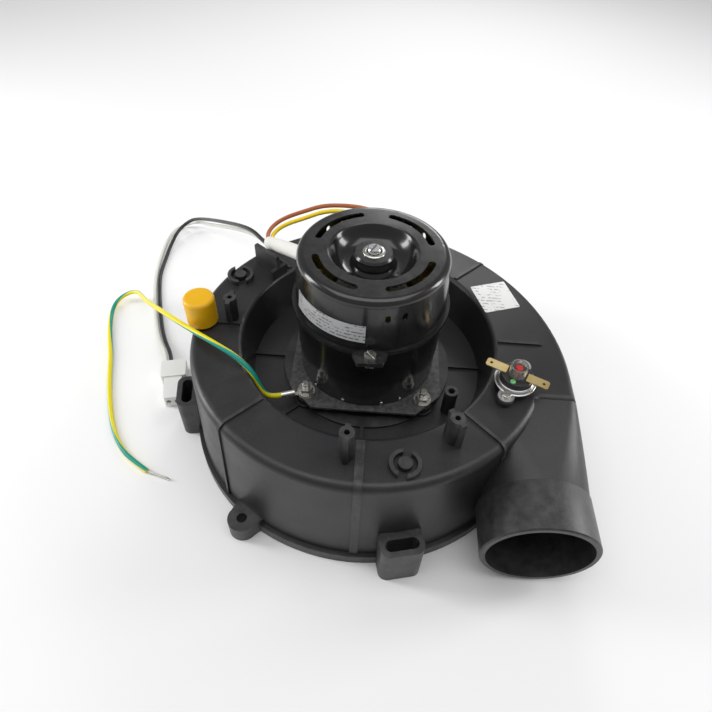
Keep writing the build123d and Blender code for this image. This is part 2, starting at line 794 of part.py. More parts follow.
exit_dir = Vector(*sleeve_route[1]) - Vector(*sleeve_route[0])
exit_plane = Plane(sleeve_route[0], z_dir=exit_dir)

with BuildPart() as lower_motor_shell:
    with BuildSketch(Plane.XZ):
        with BuildLine():
            Polyline(
                (0, shell_foot_z),
                (shell_r - shell_step, shell_foot_z),
                (shell_r - shell_step, shell_step_z),
                (shell_r, shell_step_z + shell_step),
                (shell_r, shell_split_z - shell_flange_t),
                (shell_flange_r, shell_split_z - shell_flange_t),
                (shell_flange_r, shell_split_z - fit / 2),
                (0, shell_split_z - fit / 2),
                close=True,
            )
        make_face()
    revolve(axis=Axis.Z)
    with BuildSketch(Plane.XZ):
        with BuildLine():
            Polyline(
                (0, shell_foot_z + shell_t),
                (shell_r - shell_step - shell_t, shell_foot_z + shell_t),
                (shell_r - shell_step - shell_t, shell_step_z + shell_t),
                (shell_r - shell_t, shell_step_z + shell_t + shell_step),
                (shell_r - shell_t, shell_split_z),
                (0, shell_split_z),
                close=True,
            )
        make_face()
    revolve(axis=Axis.Z, mode=Mode.SUBTRACT)
    with BuildSketch(Plane.XY.offset(shell_foot_z)):
        Circle(bearing_r + shell_t)
    extrude(amount=bearing_l + shell_t)
    with BuildSketch(Plane.XY.offset(shell_foot_z + shell_t)):
        Circle(bearing_r)
    extrude(amount=bearing_l, mode=Mode.SUBTRACT)
    with BuildSketch(Plane.XY.offset(shell_foot_z)):
        Circle(shaft_r + shell_hole_gap)
    extrude(amount=shell_t, mode=Mode.SUBTRACT)
    for angle in tab_angles:
        with BuildSketch(Plane.XY.offset(shell_split_z - shell_flange_t)):
            with Locations(Location((0, 0, 0), (0, 0, angle))):
                Polygon(*tab_outline, align=None)
                with Locations((tab_bolt_r, 0)):
                    Circle(tab_screw_r + fit, mode=Mode.SUBTRACT)
        extrude(amount=shell_flange_t - fit / 2)
lower_motor_shell.part.label = "lower_motor_shell"
export_step(lower_motor_shell.part, "parts/lower_motor_shell.step")

with BuildPart() as upper_motor_shell:
    with BuildSketch(Plane.XZ):
        with BuildLine():
            Line((cap_flat_r, cap_z), (dish_r, cap_z))
            Spline(
                (dish_r, cap_z), (dish_r - 2.2, cap_z - 2.6), (dish_r - 6.5, dish_z + 1.8),
                (hub_r + 1.6, dish_z),
                tangents=((-1, -0.25), (-1, 0)),
            )
            Polyline(
                (hub_r + 1.6, dish_z),
                (hub_r, dish_z + 1.6),
                (hub_r - 0.5, hub_z - 1.2),
                (hub_r - 1.7, hub_z),
                (0, hub_z),
                (0, shell_split_z + fit / 2),
                (shell_flange_r, shell_split_z + fit / 2),
                (shell_flange_r, shell_split_z + shell_flange_t),
                (drum_r, shell_split_z + shell_flange_t),
                (drum_top_r, cap_z - cap_edge),
            )
            ThreePointArc(
                (drum_top_r, cap_z - cap_edge),
                (cap_flat_r + (drum_top_r - cap_flat_r) * 0.72, cap_z - cap_edge * 0.27),
                (cap_flat_r, cap_z),
            )
        make_face()
    revolve(axis=Axis.Z)
    with BuildSketch(Plane.XZ):
        with BuildLine():
            Polyline(
                (0, shell_split_z),
                (drum_r - shell_t, shell_split_z),
                (drum_top_r - shell_t, cap_z - cap_edge),
                (cap_flat_r - 0.4, cap_z - shell_t),
                (dish_r + 1.0, cap_z - shell_t),
                (dish_r - 6.5, dish_z + 1.8 - 1.3 * shell_t),
                (bearing_r, dish_z - shell_t),
                (bearing_r, hub_z - shell_t - 0.5),
                (0, hub_z - shell_t - 0.5),
                close=True,
            )
        make_face()
    revolve(axis=Axis.Z, mode=Mode.SUBTRACT)
    with BuildSketch(Plane.XY.offset(hub_z - 3)):
        Circle(shaft_r + shell_hole_gap)
    extrude(amount=6, mode=Mode.SUBTRACT)
    for angle in tab_angles:
        with BuildSketch(Plane.XY.offset(shell_split_z + fit / 2)):
            with Locations(Location((0, 0, 0), (0, 0, angle))):
                Polygon(*tab_outline, align=None)
                with Locations((tab_bolt_r, 0)):
                    Circle(tab_screw_r + fit, mode=Mode.SUBTRACT)
        extrude(amount=shell_flange_t - fit / 2)
    with BuildSketch(Plane.XY.offset(cap_z - 4)):
        for arc in vent_arcs:
            SlotArc(arc, vent_w)
    extrude(amount=8, mode=Mode.SUBTRACT)
    for angle in side_vent_angles:
        with BuildSketch(Plane(polar(shell_r - 8, angle, side_vent_z), z_dir=polar(1, angle, 0))):
            SlotOverall(side_vent_l, side_vent_w, rotation=90)
        extrude(amount=12, mode=Mode.SUBTRACT)
    with BuildSketch(exit_plane.offset(-6)):
        Circle(bushing_r + fit)
    extrude(amount=16, mode=Mode.SUBTRACT)
upper_motor_shell.part.label = "upper_motor_shell"
export_step(upper_motor_shell.part, "parts/upper_motor_shell.step")

with BuildPart() as shell_screws:
    for angle in tab_angles:
        with BuildSketch(Plane.XY.offset(shell_split_z + shell_flange_t)):
            with Locations(polar(tab_bolt_r, angle)):
                Circle(tab_head_r)
        extrude(amount=tab_head_h)
        with BuildSketch(Plane.XY.offset(shell_split_z + shell_flange_t)):
            with Locations(polar(tab_bolt_r, angle)):
                Circle(tab_screw_r)
        extrude(amount=-tab_screw_l)
    with BuildSketch(Plane.XY.offset(shell_split_z + shell_flange_t + tab_head_h)):
        for angle in tab_angles:
            with Locations(Location(polar(tab_bolt_r, angle, 0), (0, 0, angle + 40))):
                Rectangle(2 * tab_head_r + 1, 0.9)
    extrude(amount=-0.9, mode=Mode.SUBTRACT)
shell_screws.part.label = "shell_screws"
export_step(shell_screws.part, "parts/shell_screws.step")

with BuildPart() as shell_nuts:
    for angle in tab_angles:
        with BuildSketch(Plane.XY.offset(shell_split_z - shell_flange_t)):
            with Locations(polar(tab_bolt_r, angle)):
                RegularPolygon(tab_nut_r, 6)
                Circle(tab_screw_r + 0.01, mode=Mode.SUBTRACT)
        extrude(amount=-tab_nut_h)
shell_nuts.part.label = "shell_nuts"
export_step(shell_nuts.part, "parts/shell_nuts.step")

# ---------------------------------------------------------------- inside the motor
with BuildPart() as lower_bearing:
    with BuildSketch(Plane.XY.offset(shell_foot_z + shell_t)):
        Circle(bearing_r - fit)
        Circle(shaft_r + bearing_gap, mode=Mode.SUBTRACT)
    extrude(amount=bearing_l - 0.5)
lower_bearing.part.label = "lower_bearing"
export_step(lower_bearing.part, "parts/lower_bearing.step")

with BuildPart() as upper_bearing:
    with BuildSketch(Plane.XY.offset(hub_z - shell_t - 0.5 - bearing_l)):
        Circle(bearing_r - fit)
        Circle(shaft_r + bearing_gap, mode=Mode.SUBTRACT)
    extrude(amount=bearing_l - fit)
upper_bearing.part.label = "upper_bearing"
export_step(upper_bearing.part, "parts/upper_bearing.step")

with BuildPart() as stator_core:
    with BuildSketch(Plane.XY.offset(core_bottom_z)):
        Circle(shell_r - shell_t - fit)
        Circle(core_bore_r, mode=Mode.SUBTRACT)
    extrude(amount=core_top_z - core_bottom_z)
stator_core.part.label = "stator_core"
export_step(stator_core.part, "parts/stator_core.step")

with BuildPart() as stator_windings:
    for z in (core_top_z + fit, core_bottom_z - fit - coil_h):
        with BuildSketch(Plane.XY.offset(z)):
            for arc in coil_arcs:
                SlotArc(arc, 2 * coil_half)
        extrude(amount=coil_h)
stator_windings.part.label = "stator_windings"
export_step(stator_windings.part, "parts/stator_windings.step")

# ---------------------------------------------------------------- the rotor: everything on the shaft
with BuildPart() as motor_shaft:
    with BuildSketch(Plane.XY.offset(shaft_bottom_z)):
        Circle(shaft_r)
    extrude(amount=shaft_top_z - shaft_bottom_z)
    chamfer(motor_shaft.edges(), 0.5)
    with BuildSketch(Plane.XY.offset(shaft_top_z)):
        with Locations(Location((0, 0, 0), (0, 0, 60))):
            Rectangle(2.2 * shaft_r, 1.2)
    extrude(amount=-1.2, mode=Mode.SUBTRACT)
motor_shaft.part.label = "motor_shaft"
export_step(motor_shaft.part, "parts/motor_shaft.step")

with BuildPart() as rotor_core:
    with BuildSketch(Plane.XY.offset(core_bottom_z)):
        Circle(core_bore_r - air_gap)
        Circle(shaft_r, mode=Mode.SUBTRACT)
    extrude(amount=core_top_z - core_bottom_z)
rotor_core.part.label = "rotor_core"
export_step(rotor_core.part, "parts/rotor_core.step")

with BuildPart() as rotor_end_rings:
    for z in (core_bottom_z - end_ring_h, core_top_z):
        with BuildSketch(Plane.XY.offset(z)):
            Circle(core_bore_r - 1.5)
            Circle(core_bore_r - 9, mode=Mode.SUBTRACT)
        extrude(amount=end_ring_h)
rotor_end_rings.part.label = "rotor_end_rings"
export_step(rotor_end_rings.part, "parts/rotor_end_rings.step")

with BuildPart() as thrust_washers:
    for z in (shell_foot_z + shell_t + bearing_l + 0.3, hub_z - shell_t - 0.5 - bearing_l - 1.3):
        with BuildSketch(Plane.XY.offset(z)):
            Circle(washer_r)
            Circle(shaft_r, mode=Mode.SUBTRACT)
        extrude(amount=1.0)
thrust_washers.part.label = "thrust_washers"
export_step(thrust_washers.part, "parts/thrust_washers.step")

with BuildPart() as motor_cooling_fan:
    with BuildSketch(Plane.XY.offset(fan_z)):
        Circle(fan_hub_r)
        for blade in range(fan_blades):
            with Locations(Location(polar((fan_hub_r + fan_r) / 2 - 1, blade * 360 / fan_blades, 0),
                                    (0, 0, blade * 360 / fan_blades))):
                Rectangle(fan_r - fan_hub_r + 2, 1.4)
        Circle(shaft_r, mode=Mode.SUBTRACT)
    extrude(amount=fan_h)
    with BuildSketch(Plane.XY.offset(fan_z)):
        Circle(fan_r)
        Circle(shaft_r, mode=Mode.SUBTRACT)
    extrude(amount=1.2)
motor_cooling_fan.part.label = "motor_cooling_fan"
export_step(motor_cooling_fan.part, "parts/motor_cooling_fan.step")

with BuildPart() as heat_slinger:
    with BuildSketch(Plane.XY.offset(slinger_z)):
        Circle(slinger_r)
        Circle(shaft_r, mode=Mode.SUBTRACT)
    extrude(amount=1.0)
    with BuildSketch(Plane.XY.offset(slinger_z)):
        Circle(slinger_hub_r)
        for blade in range(slinger_blades):
            with Locations(Location(polar(slinger_r * 0.62, blade * 360 / slinger_blades, 0),
                                    (0, 0, blade * 360 / slinger_blades))):
                Rectangle(slinger_r * 0.66, 1.2)
        Circle(shaft_r, mode=Mode.SUBTRACT)
    extrude(amount=slinger_h)
heat_slinger.part.label = "heat_slinger"
export_step(heat_slinger.part, "parts/heat_slinger.step")

with BuildPart() as impeller:
    with BuildSketch(Plane.XY.offset(impeller_top_z - impeller_disc_t)):
        Circle(impeller_r)
    extrude(amount=impeller_disc_t)
    with BuildSketch(Plane.XY.offset(impeller_bottom_z + hub_recess)):
        Circle(impeller_hub_r)
    extrude(amount=impeller_top_z - impeller_bottom_z - hub_recess)
    with BuildSketch(Plane.XY.offset(impeller_bottom_z)):
        for arc in blade_arcs:
            SlotArc(arc, blade_t)
    extrude(amount=impeller_top_z - impeller_bottom_z)
    with BuildSketch(Plane.XY.offset(impeller_bottom_z)):
        Circle(impeller_r)
        Circle(impeller_eye_r, mode=Mode.SUBTRACT)
    extrude(amount=impeller_disc_t)
    with BuildSketch(Plane.XY.offset(impeller_bottom_z)):
        Circle(shaft_r)
    extrude(amount=impeller_top_z, mode=Mode.SUBTRACT)
impeller.part.label = "impeller"
export_step(impeller.part, "parts/impeller.step")

with BuildPart() as impeller_clip:
    with BuildSketch(Plane.XY.offset(impeller_bottom_z + hub_recess - clip_t)):
        Circle(clip_r)
        Circle(shaft_r, mode=Mode.SUBTRACT)
        with Locations((clip_r, 0)):
            Rectangle(clip_r, 2.0, mode=Mode.SUBTRACT)
    extrude(amount=clip_t)
impeller_clip.part.label = "impeller_clip"
export_step(impeller_clip.part, "parts/impeller_clip.step")

# ---------------------------------------------------------------- ground ring terminal
barrel_z = shell_foot_z + barrel_r + fit
barrel_dir = polar(1, ring_angle, 0)
ring_x = -stud_xy
ring_y = -stud_xy
barrel_points = [
    (ring_x + barrel_dir[0] * reach, ring_y + barrel_dir[1] * reach, barrel_z)
    for reach in (barrel_start, barrel_end)
]

with BuildPart() as ground_ring_terminal:
    with BuildSketch(Plane.XY.offset(shell_foot_z)):
        with Locations((ring_x, ring_y)):
            Circle(nut_flange_r + 0.1)
        with Locations(Location((ring_x + barrel_dir[0] * 6, ring_y + barrel_dir[1] * 6, 0),
                                (0, 0, ring_angle))):
            Rectangle(8, 2.6)
        with Locations((ring_x, ring_y)):
            Circle(stud_r + 0.2, mode=Mode.SUBTRACT)
    extrude(amount=ring_t)
    with BuildSketch(Plane(barrel_points[0], z_dir=barrel_dir)):
        Circle(barrel_r)
    extrude(amount=barrel_end - barrel_start)
ground_ring_terminal.part.label = "ground_ring_terminal"
export_step(ground_ring_terminal.part, "parts/ground_ring_terminal.step")

# ---------------------------------------------------------------- limit switch
pad_top_z = body_h + switch_pad_h

with BuildPart() as limit_switch_gasket:
    with BuildSketch(Plane.XY.offset(pad_top_z)):
        with Locations((switch_x, switch_y)):
            Circle(switch_pad_r - 0.3)
        for x, y in ears:
            with Locations((x, y)):
                Circle(switch_ear_r - 0.3)
        for x, y in ears:
            with Locations((x, y)):
                Circle(switch_screw_r + 0.1, mode=Mode.SUBTRACT)
    extrude(amount=switch_gasket_t)
limit_switch_gasket.part.label = "limit_switch_gasket"
export_step(limit_switch_gasket.part, "parts/limit_switch_gasket.step")

with BuildPart() as limit_switch_flange:
    with BuildSketch(Plane.XY.offset(pad_top_z + switch_gasket_t)):
        with Locations((switch_x, switch_y)):
            Circle(switch_pad_r - 0.7)
        with Locations(Location((switch_x, switch_y, 0), (0, 0, switch_axis))):
            SlotOverall(2 * (switch_hole + switch_ear_r - 0.4), 2 * (switch_ear_r - 0.4))
        for x, y in ears:
            with Locations((x, y)):
                Circle(switch_screw_r + 0.1, mode=Mode.SUBTRACT)
    extrude(amount=switch_flange_t)
limit_switch_flange.part.label = "limit_switch_flange"
export_step(limit_switch_flange.part, "parts/limit_switch_flange.step")

with BuildPart() as limit_switch_body:
    with BuildSketch(Plane.XY.offset(switch_body_z)):
        with Locations((switch_x, switch_y)):
            Circle(switch_r)
    extrude(amount=switch_body_h)
    fillet(limit_switch_body.edges().group_by(Axis.Z)[-1], 0.6)
    with BuildSketch(Plane.XY.offset(button_bottom_z - button_travel - 0.2)):
        with Locations((switch_x, switch_y)):
            Circle(button_r + button_gap)
    extrude(amount=10, mode=Mode.SUBTRACT)
limit_switch_body.part.label = "limit_switch_body"
export_step(limit_switch_body.part, "parts/limit_switch_body.step")

with BuildPart() as limit_switch_terminals:
    with BuildSketch(Plane.XY.offset(switch_body_z + switch_body_h)):
        for side in (-1, 1):
            blade_mid = side * (terminal_start + blade_span / 2) / 2
            x, y = polar(blade_mid, blade_axis)
            with Locations(Location((switch_x + x, switch_y + y, 0), (0, 0, blade_axis))):
                Rectangle(blade_span / 2 - terminal_start, blade_w)
            x, y = polar(side * (blade_span / 2 - 3), blade_axis)
            with Locations((switch_x + x, switch_y + y)):
                Circle(0.9, mode=Mode.SUBTRACT)
    extrude(amount=terminal_t)
    terminal_tips = limit_switch_terminals.edges().filter_by(Axis.Z).filter_by(
        lambda edge: (edge.center() - Vector(switch_x, switch_y, edge.center().Z)).length
        > blade_span / 2
    )
    chamfer(terminal_tips, 1.0)
limit_switch_terminals.part.label = "limit_switch_terminals"
export_step(limit_switch_terminals.part, "parts/limit_switch_terminals.step")

with BuildPart() as switch_guard:
    with BuildSketch(Plane.XY.offset(switch_body_z + switch_body_h)):
        with Locations((switch_x, switch_y)):
            Circle(guard_r)
            Circle(guard_bore_r, mode=Mode.SUBTRACT)
    extrude(amount=guard_h)
switch_guard.part.label = "switch_guard"
export_step(switch_guard.part, "parts/switch_guard.step")

with BuildPart() as reset_button:
    with BuildSketch(Plane.XY.offset(button_bottom_z)):
        with Locations((switch_x, switch_y)):
            Circle(button_r)
    extrude(amount=button_top_z - button_bottom_z)
    fillet(reset_button.edges().group_by(Axis.Z)[-1], 0.5)
reset_button.part.label = "reset_button"
export_step(reset_button.part, "parts/reset_button.step")

with BuildPart() as switch_screws:
    with BuildSketch(Plane.XY.offset(switch_body_z)):
        with Locations(*ears):
            Circle(switch_head_r)
    extrude(amount=switch_head_h)
    fillet(switch_screws.edges().group_by(Axis.Z)[-1], 0.7)
    with BuildSketch(Plane.XY.offset(switch_body_z)):
        with Locations(*ears):
            Circle(switch_screw_r - 0.01)
    extrude(amount=-switch_screw_l)
    with BuildSketch(Plane.XY.offset(switch_body_z + switch_head_h)):
        for x, y in ears:
            with Locations(Location((x, y, 0), (0, 0, switch_axis + 25))):
                Rectangle(1.8 * switch_head_r, 0.8)
                Rectangle(0.8, 1.8 * switch_head_r)
    extrude(amount=-0.8, mode=Mode.SUBTRACT)
switch_screws.part.label = "switch_screws"
export_step(switch_screws.part, "parts/switch_screws.step")

# ---------------------------------------------------------------- port cap and labels
with BuildPart() as port_cap:
    with BuildSketch(Plane.XY.offset(port_cap_z)):
        with Locations((port_x, port_y)):
            Circle(port_cap_r)
    extrude(amount=port_cap_h - 1.6)
    fillet(port_cap.edges().group_by(Axis.Z)[-1], 2.5)
    with BuildSketch(Plane.XY.offset(port_cap_z)):
        with Locations((port_x, port_y)):
            Circle(port_r + cap_wall_gap)
    extrude(amount=port_cap_h - port_cap_top_t, mode=Mode.SUBTRACT)
port_cap.part.label = "port_cap"
export_step(port_cap.part, "parts/port_cap.step")

with BuildPart() as housing_label:
    with BuildSketch(Plane.XY.offset(body_h)):
        with Locations(Location((label_x, label_y, 0), (0, 0, label_turn))):
            RectangleRounded(label_w, label_l, 1.0)
    extrude(amount=label_t)
housing_label.part.label = "housing_label"
export_step(housing_label.part, "parts/housing_label.step")

label_low_r = drum_at(motor_label_z)
label_high_r = drum_at(motor_label_z + motor_label_h)

with BuildPart() as motor_label:
    with BuildSketch(Plane.XZ.rotated((0, 0, motor_label_start))):
        with BuildLine():
            Polyline(
                (label_low_r, motor_label_z),
                (label_low_r + motor_label_t, motor_label_z),
                (label_high_r + motor_label_t, motor_label_z + motor_label_h),
                (label_high_r, motor_label_z + motor_label_h),
                close=True,
            )
        make_face()
    revolve(axis=Axis.Z, revolution_arc=motor_label_span)
motor_label.part.label = "motor_label"
export_step(motor_label.part, "parts/motor_label.step")

# ---------------------------------------------------------------- run capacitor
with BuildPart() as run_capacitor:
    with BuildSketch(Plane.XY.offset(cap_box_z)):
        with Locations((cap_box_x, cap_box_y)):
            RectangleRounded(cap_box_w, cap_box_d, 2.0)
    extrude(amount=cap_box_top_z - cap_box_z)
    chamfer(run_capacitor.edges().group_by(Axis.Z)[-1], 0.8)
    with BuildSketch(Plane.XY.offset(body_h)):
        for side in (-1, 1):
            with Locations((cap_box_x + side * (cap_box_w + cap_ear_l - 2) / 2, cap_box_y)):
                Rectangle(cap_ear_l + 2, cap_ear_w)
        with Locations(*cap_screw_points):
            Circle(cap_screw_r + 0.1, mode=Mode.SUBTRACT)
    extrude(amount=cap_ear_t)
run_capacitor.part.label = "run_capacitor"
export_step(run_capacitor.part, "parts/run_capacitor.step")

with BuildPart() as capacitor_screws:
    with BuildSketch(Plane.XY.offset(body_h + cap_ear_t)):
        with Locations(*cap_screw_points):
            Circle(cap_screw_head_r)
    extrude(amount=cap_screw_head_h)
    with BuildSketch(Plane.XY.offset(body_h + cap_ear_t)):
        with Locations(*cap_screw_points):
            Circle(cap_screw_r - 0.01)
    extrude(amount=-cap_screw_l)
    with BuildSketch(Plane.XY.offset(body_h + cap_ear_t + cap_screw_head_h)):
        with Locations(*cap_screw_points):
            Rectangle(2.2 * cap_screw_head_r, 0.8)
    extrude(amount=-0.8, mode=Mode.SUBTRACT)
capacitor_screws.part.label = "capacitor_screws"
export_step(capacitor_screws.part, "parts/capacitor_screws.step")

with BuildPart() as capacitor_terminals:
    with BuildSketch(Plane.XY.offset(cap_box_top_z)):
        with Locations(*cap_tabs):
            Rectangle(cap_tab_w, terminal_t)
    extrude(amount=cap_tab_h)
capacitor_terminals.part.label = "capacitor_terminals"
export_step(capacitor_terminals.part, "parts/capacitor_terminals.step")

with BuildPart() as lead_receptacles:
    with BuildSketch(Plane.XY.offset(cap_box_top_z + 1.5)):
        for x, y in cap_tabs:
            with Locations((x - 0.75, y)):
                RectangleRounded(receptacle_l, receptacle_d, 1.0)
        with Locations(*cap_tabs):
            Rectangle(cap_tab_w + 2 * fit, terminal_t + 2 * fit, mode=Mode.SUBTRACT)
    extrude(amount=receptacle_h)
lead_receptacles.part.label = "lead_receptacles"
export_step(lead_receptacles.part, "parts/lead_receptacles.step")

# ---------------------------------------------------------------- power connector
plug_dir = polar(1, plug_turn, 0)
nose_x = plug_x + plug_dir[0] * (plug_l + nose_l) / 2
nose_y = plug_y + plug_dir[1] * (plug_l + nose_l) / 2
nose_tip = (nose_x + plug_dir[0] * nose_l / 2, nose_y + plug_dir[1] * nose_l / 2, plug_h / 2)
plug_face = Plane(nose_tip, x_dir=polar(1, plug_turn + 90, 0), z_dir=plug_dir)

with BuildPart() as power_connector:
    with BuildSketch():
        with Locations(Location((plug_x, plug_y, 0), (0, 0, plug_turn))):
            RectangleRounded(plug_l, plug_w, 1.2)
    extrude(amount=plug_h)
    with BuildSketch(Plane.XY.offset((plug_h - nose_h) / 2)):
        with Locations(Location((nose_x - plug_dir[0], nose_y - plug_dir[1], 0), (0, 0, plug_turn))):
            RectangleRounded(nose_l + 2, nose_w, 1.2)
    extrude(amount=nose_h)
    with BuildSketch(plug_face):
        with GridLocations(contact_pitch, 0, 2, 1):
            Circle(contact_bore_r)
    extrude(amount=-contact_l, mode=Mode.SUBTRACT)
power_connector.part.label = "power_connector"
export_step(power_connector.part, "parts/power_connector.step")

with BuildPart() as connector_contacts:
    with BuildSketch(plug_face.offset(-contact_l)):
        with GridLocations(contact_pitch, 0, 2, 1):
            Circle(contact_r)
    extrude(amount=contact_l - 2)
connector_contacts.part.label = "connector_contacts"
export_step(connector_contacts.part, "parts/connector_contacts.step")

# ---------------------------------------------------------------- lead sleeve, bushing and cords
with BuildPart() as lead_bushing:
    with BuildSketch(exit_plane.offset(-1.5)):
        Circle(bushing_r)
        Circle(sleeve_d / 2, mode=Mode.SUBTRACT)
    extrude(amount=bushing_l)
lead_bushing.part.label = "lead_bushing"
export_step(lead_bushing.part, "parts/lead_bushing.step")

with BuildPart() as lead_sleeve:
    with BuildLine():
        FilletPolyline(*sleeve_route, radius=bend_radii("lead_sleeve", sleeve_route))
    with BuildSketch(start_plane(sleeve_route)):
        Circle(sleeve_d / 2)
    sweep()
lead_sleeve.part.label = "lead_sleeve"
export_step(lead_sleeve.part, "parts/lead_sleeve.step")

with BuildPart() as black_lead:
    with BuildLine():
        FilletPolyline(*black_route, radius=bend_radii("black_lead", black_route))
    with BuildSketch(start_plane(black_route)):
        Circle(lead_d / 2)
    sweep()
black_lead.part.label = "black_lead"
export_step(black_lead.part, "parts/black_lead.step")

with BuildPart() as white_lead:
    with BuildLine():
        FilletPolyline(*white_route, radius=bend_radii("white_lead", white_route))
    with BuildSketch(start_plane(white_route)):
        Circle(lead_d / 2)
    sweep()
white_lead.part.label = "white_lead"
export_step(white_lead.part, "parts/white_lead.step")

with BuildPart() as yellow_lead:
    with BuildLine():
        FilletPolyline(*yellow_route, radius=bend_radii("yellow_lead", yellow_route))
    with BuildSketch(start_plane(yellow_route)):
        Circle(lead_d / 2)
    sweep()
yellow_lead.part.label = "yellow_lead"
export_step(yellow_lead.part, "parts/yellow_lead.step")

with BuildPart() as brown_lead:
    with BuildLine():
        FilletPolyline(*brown_route, radius=bend_radii("brown_lead", brown_route))
    with BuildSketch(start_plane(brown_route)):
        Circle(lead_d / 2)
    sweep()
brown_lead.part.label = "brown_lead"
export_step(brown_lead.part, "parts/brown_lead.step")

with BuildPart() as ground_wire:
    with BuildLine():
        FilletPolyline(*ground_route, radius=bend_radii("ground_wire", ground_route))
    with BuildSketch(start_plane(ground_route)):
        Circle(ground_d / 2)
    sweep()
ground_wire.part.label = "ground_wire"
export_step(ground_wire.part, "parts/ground_wire.step")

with BuildPart() as ground_strands:
    with BuildLine():
        FilletPolyline(*strand_route, radius=bend_radii("ground_strands", strand_route))
    with BuildSketch(start_plane(strand_route)):
        Circle(strand_d / 2)
    sweep()
ground_strands.part.label = "ground_strands"
export_step(ground_strands.part, "parts/ground_strands.step")
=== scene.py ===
import json
import math
import random

import bmesh
import bpy
from mathutils import Vector, Matrix


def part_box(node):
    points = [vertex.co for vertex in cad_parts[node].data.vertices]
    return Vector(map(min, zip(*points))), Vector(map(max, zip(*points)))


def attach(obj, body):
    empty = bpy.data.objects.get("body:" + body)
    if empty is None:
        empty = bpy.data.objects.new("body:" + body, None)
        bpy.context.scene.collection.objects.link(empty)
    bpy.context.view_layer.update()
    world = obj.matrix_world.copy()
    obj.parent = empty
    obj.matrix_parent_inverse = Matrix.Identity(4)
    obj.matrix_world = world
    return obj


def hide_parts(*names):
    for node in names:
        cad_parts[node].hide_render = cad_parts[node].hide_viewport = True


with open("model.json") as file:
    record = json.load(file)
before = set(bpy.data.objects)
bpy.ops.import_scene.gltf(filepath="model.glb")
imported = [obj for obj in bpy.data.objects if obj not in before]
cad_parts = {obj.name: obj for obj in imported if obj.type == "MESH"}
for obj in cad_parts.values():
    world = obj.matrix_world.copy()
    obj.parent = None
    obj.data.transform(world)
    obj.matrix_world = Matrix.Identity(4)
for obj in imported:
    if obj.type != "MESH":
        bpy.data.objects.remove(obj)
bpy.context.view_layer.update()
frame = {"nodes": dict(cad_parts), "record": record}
nodes = frame["nodes"]
scene = bpy.context.scene
random.seed(11)
print("frame loaded, %d nodes" % len(nodes))


# ---- camera: stands in front of the fan, looking down at the motor
viewpoint = {
    "place": (0.0, -0.26361, 0.35180),
    "turn": -0.0281,
    "down": 0.8421,
    "tilt": -0.0489,
    "lens": 29.25,
}


def placeCamera(v):
    ahead = Vector((math.sin(v["turn"]) * math.cos(v["down"]),
                    math.cos(v["turn"]) * math.cos(v["down"]),
                    -math.sin(v["down"])))
    across = Vector((math.cos(v["turn"]), -math.sin(v["turn"]), 0.0))
    below = ahead.cross(across)
    camX = across * math.cos(v["tilt"]) + below * math.sin(v["tilt"])
    camY = across * math.sin(v["tilt"]) - below * math.cos(v["tilt"])
    data = bpy.data.cameras.new("fanCamera")
    data.lens = v["lens"]
    data.sensor_width = 36
    cam = bpy.data.objects.new("fanCamera", data)
    turn = Matrix((camX, camY, -ahead)).transposed()
    cam.matrix_world = Matrix.Translation(v["place"]) @ turn.to_4x4()
    scene.collection.objects.link(cam)
    scene.camera = cam


placeCamera(viewpoint)
print("camera placed")


# ---- node groups shared by the finishes
def newGroup(name, inputs, outputs):
    group = bpy.data.node_groups.new(name, "ShaderNodeTree")
    for label, default in inputs:
        socket = group.interface.new_socket(name=label, in_out="INPUT",
                                            socket_type="NodeSocketFloat")
        socket.default_value = default
    for label in outputs:
        group.interface.new_socket(name=label, in_out="OUTPUT", socket_type="NodeSocketFloat")
    start = group.nodes.new("NodeGroupInput")
    end = group.nodes.new("NodeGroupOutput")
    return group, start, end


def addMath(tree, kind, a, b=None, clamp=False):
    node = tree.nodes.new("ShaderNodeMath")
    node.operation = kind
    node.use_clamp = clamp
    for spot, value in ((0, a), (1, b)):
        if value is None:
            continue
        if isinstance(value, (int, float)):
            node.inputs[spot].default_value = value
        else:
            tree.links.new(value, node.inputs[spot])
    return node.outputs[0]


def addNoise(tree, vector, scale, detail=3.0, rough=0.55):
    node = tree.nodes.new("ShaderNodeTexNoise")
    node.inputs["Detail"].default_value = detail
    node.inputs["Roughness"].default_value = rough
    tree.links.new(vector, node.inputs["Vector"])
    if isinstance(scale, (int, float)):
        node.inputs["Scale"].default_value = scale
    else:
        tree.links.new(scale, node.inputs["Scale"])
    return node.outputs["Fac"]


def objectCoords(tree):
    return tree.nodes.new("ShaderNodeTexCoord").outputs["Object"]


def addRange(tree, value, low, high, newLow, newHigh):
    node = tree.nodes.new("ShaderNodeMapRange")
    tree.links.new(value, node.inputs["Value"])
    node.inputs["From Min"].default_value = low
    node.inputs["From Max"].default_value = high
    node.inputs["To Min"].default_value = newLow
    node.inputs["To Max"].default_value = newHigh
    return node.outputs["Result"]


# fine grain: small pits and a slow drift, both 0 to 1
def makeGrainGroup():
    group, start, end = newGroup("surfaceGrain", [("Scale", 1500.0), ("Drift Scale", 40.0)],
                                 ["Grain", "Drift"])
    coords = objectCoords(group)
    fine = addNoise(group, coords, start.outputs["Scale"], 2.0, 0.5)
    drift = addNoise(group, coords, start.outputs["Drift Scale"], 4.0, 0.6)
    group.links.new(fine, end.inputs["Grain"])
    group.links.new(drift, end.inputs["Drift"])
    return group


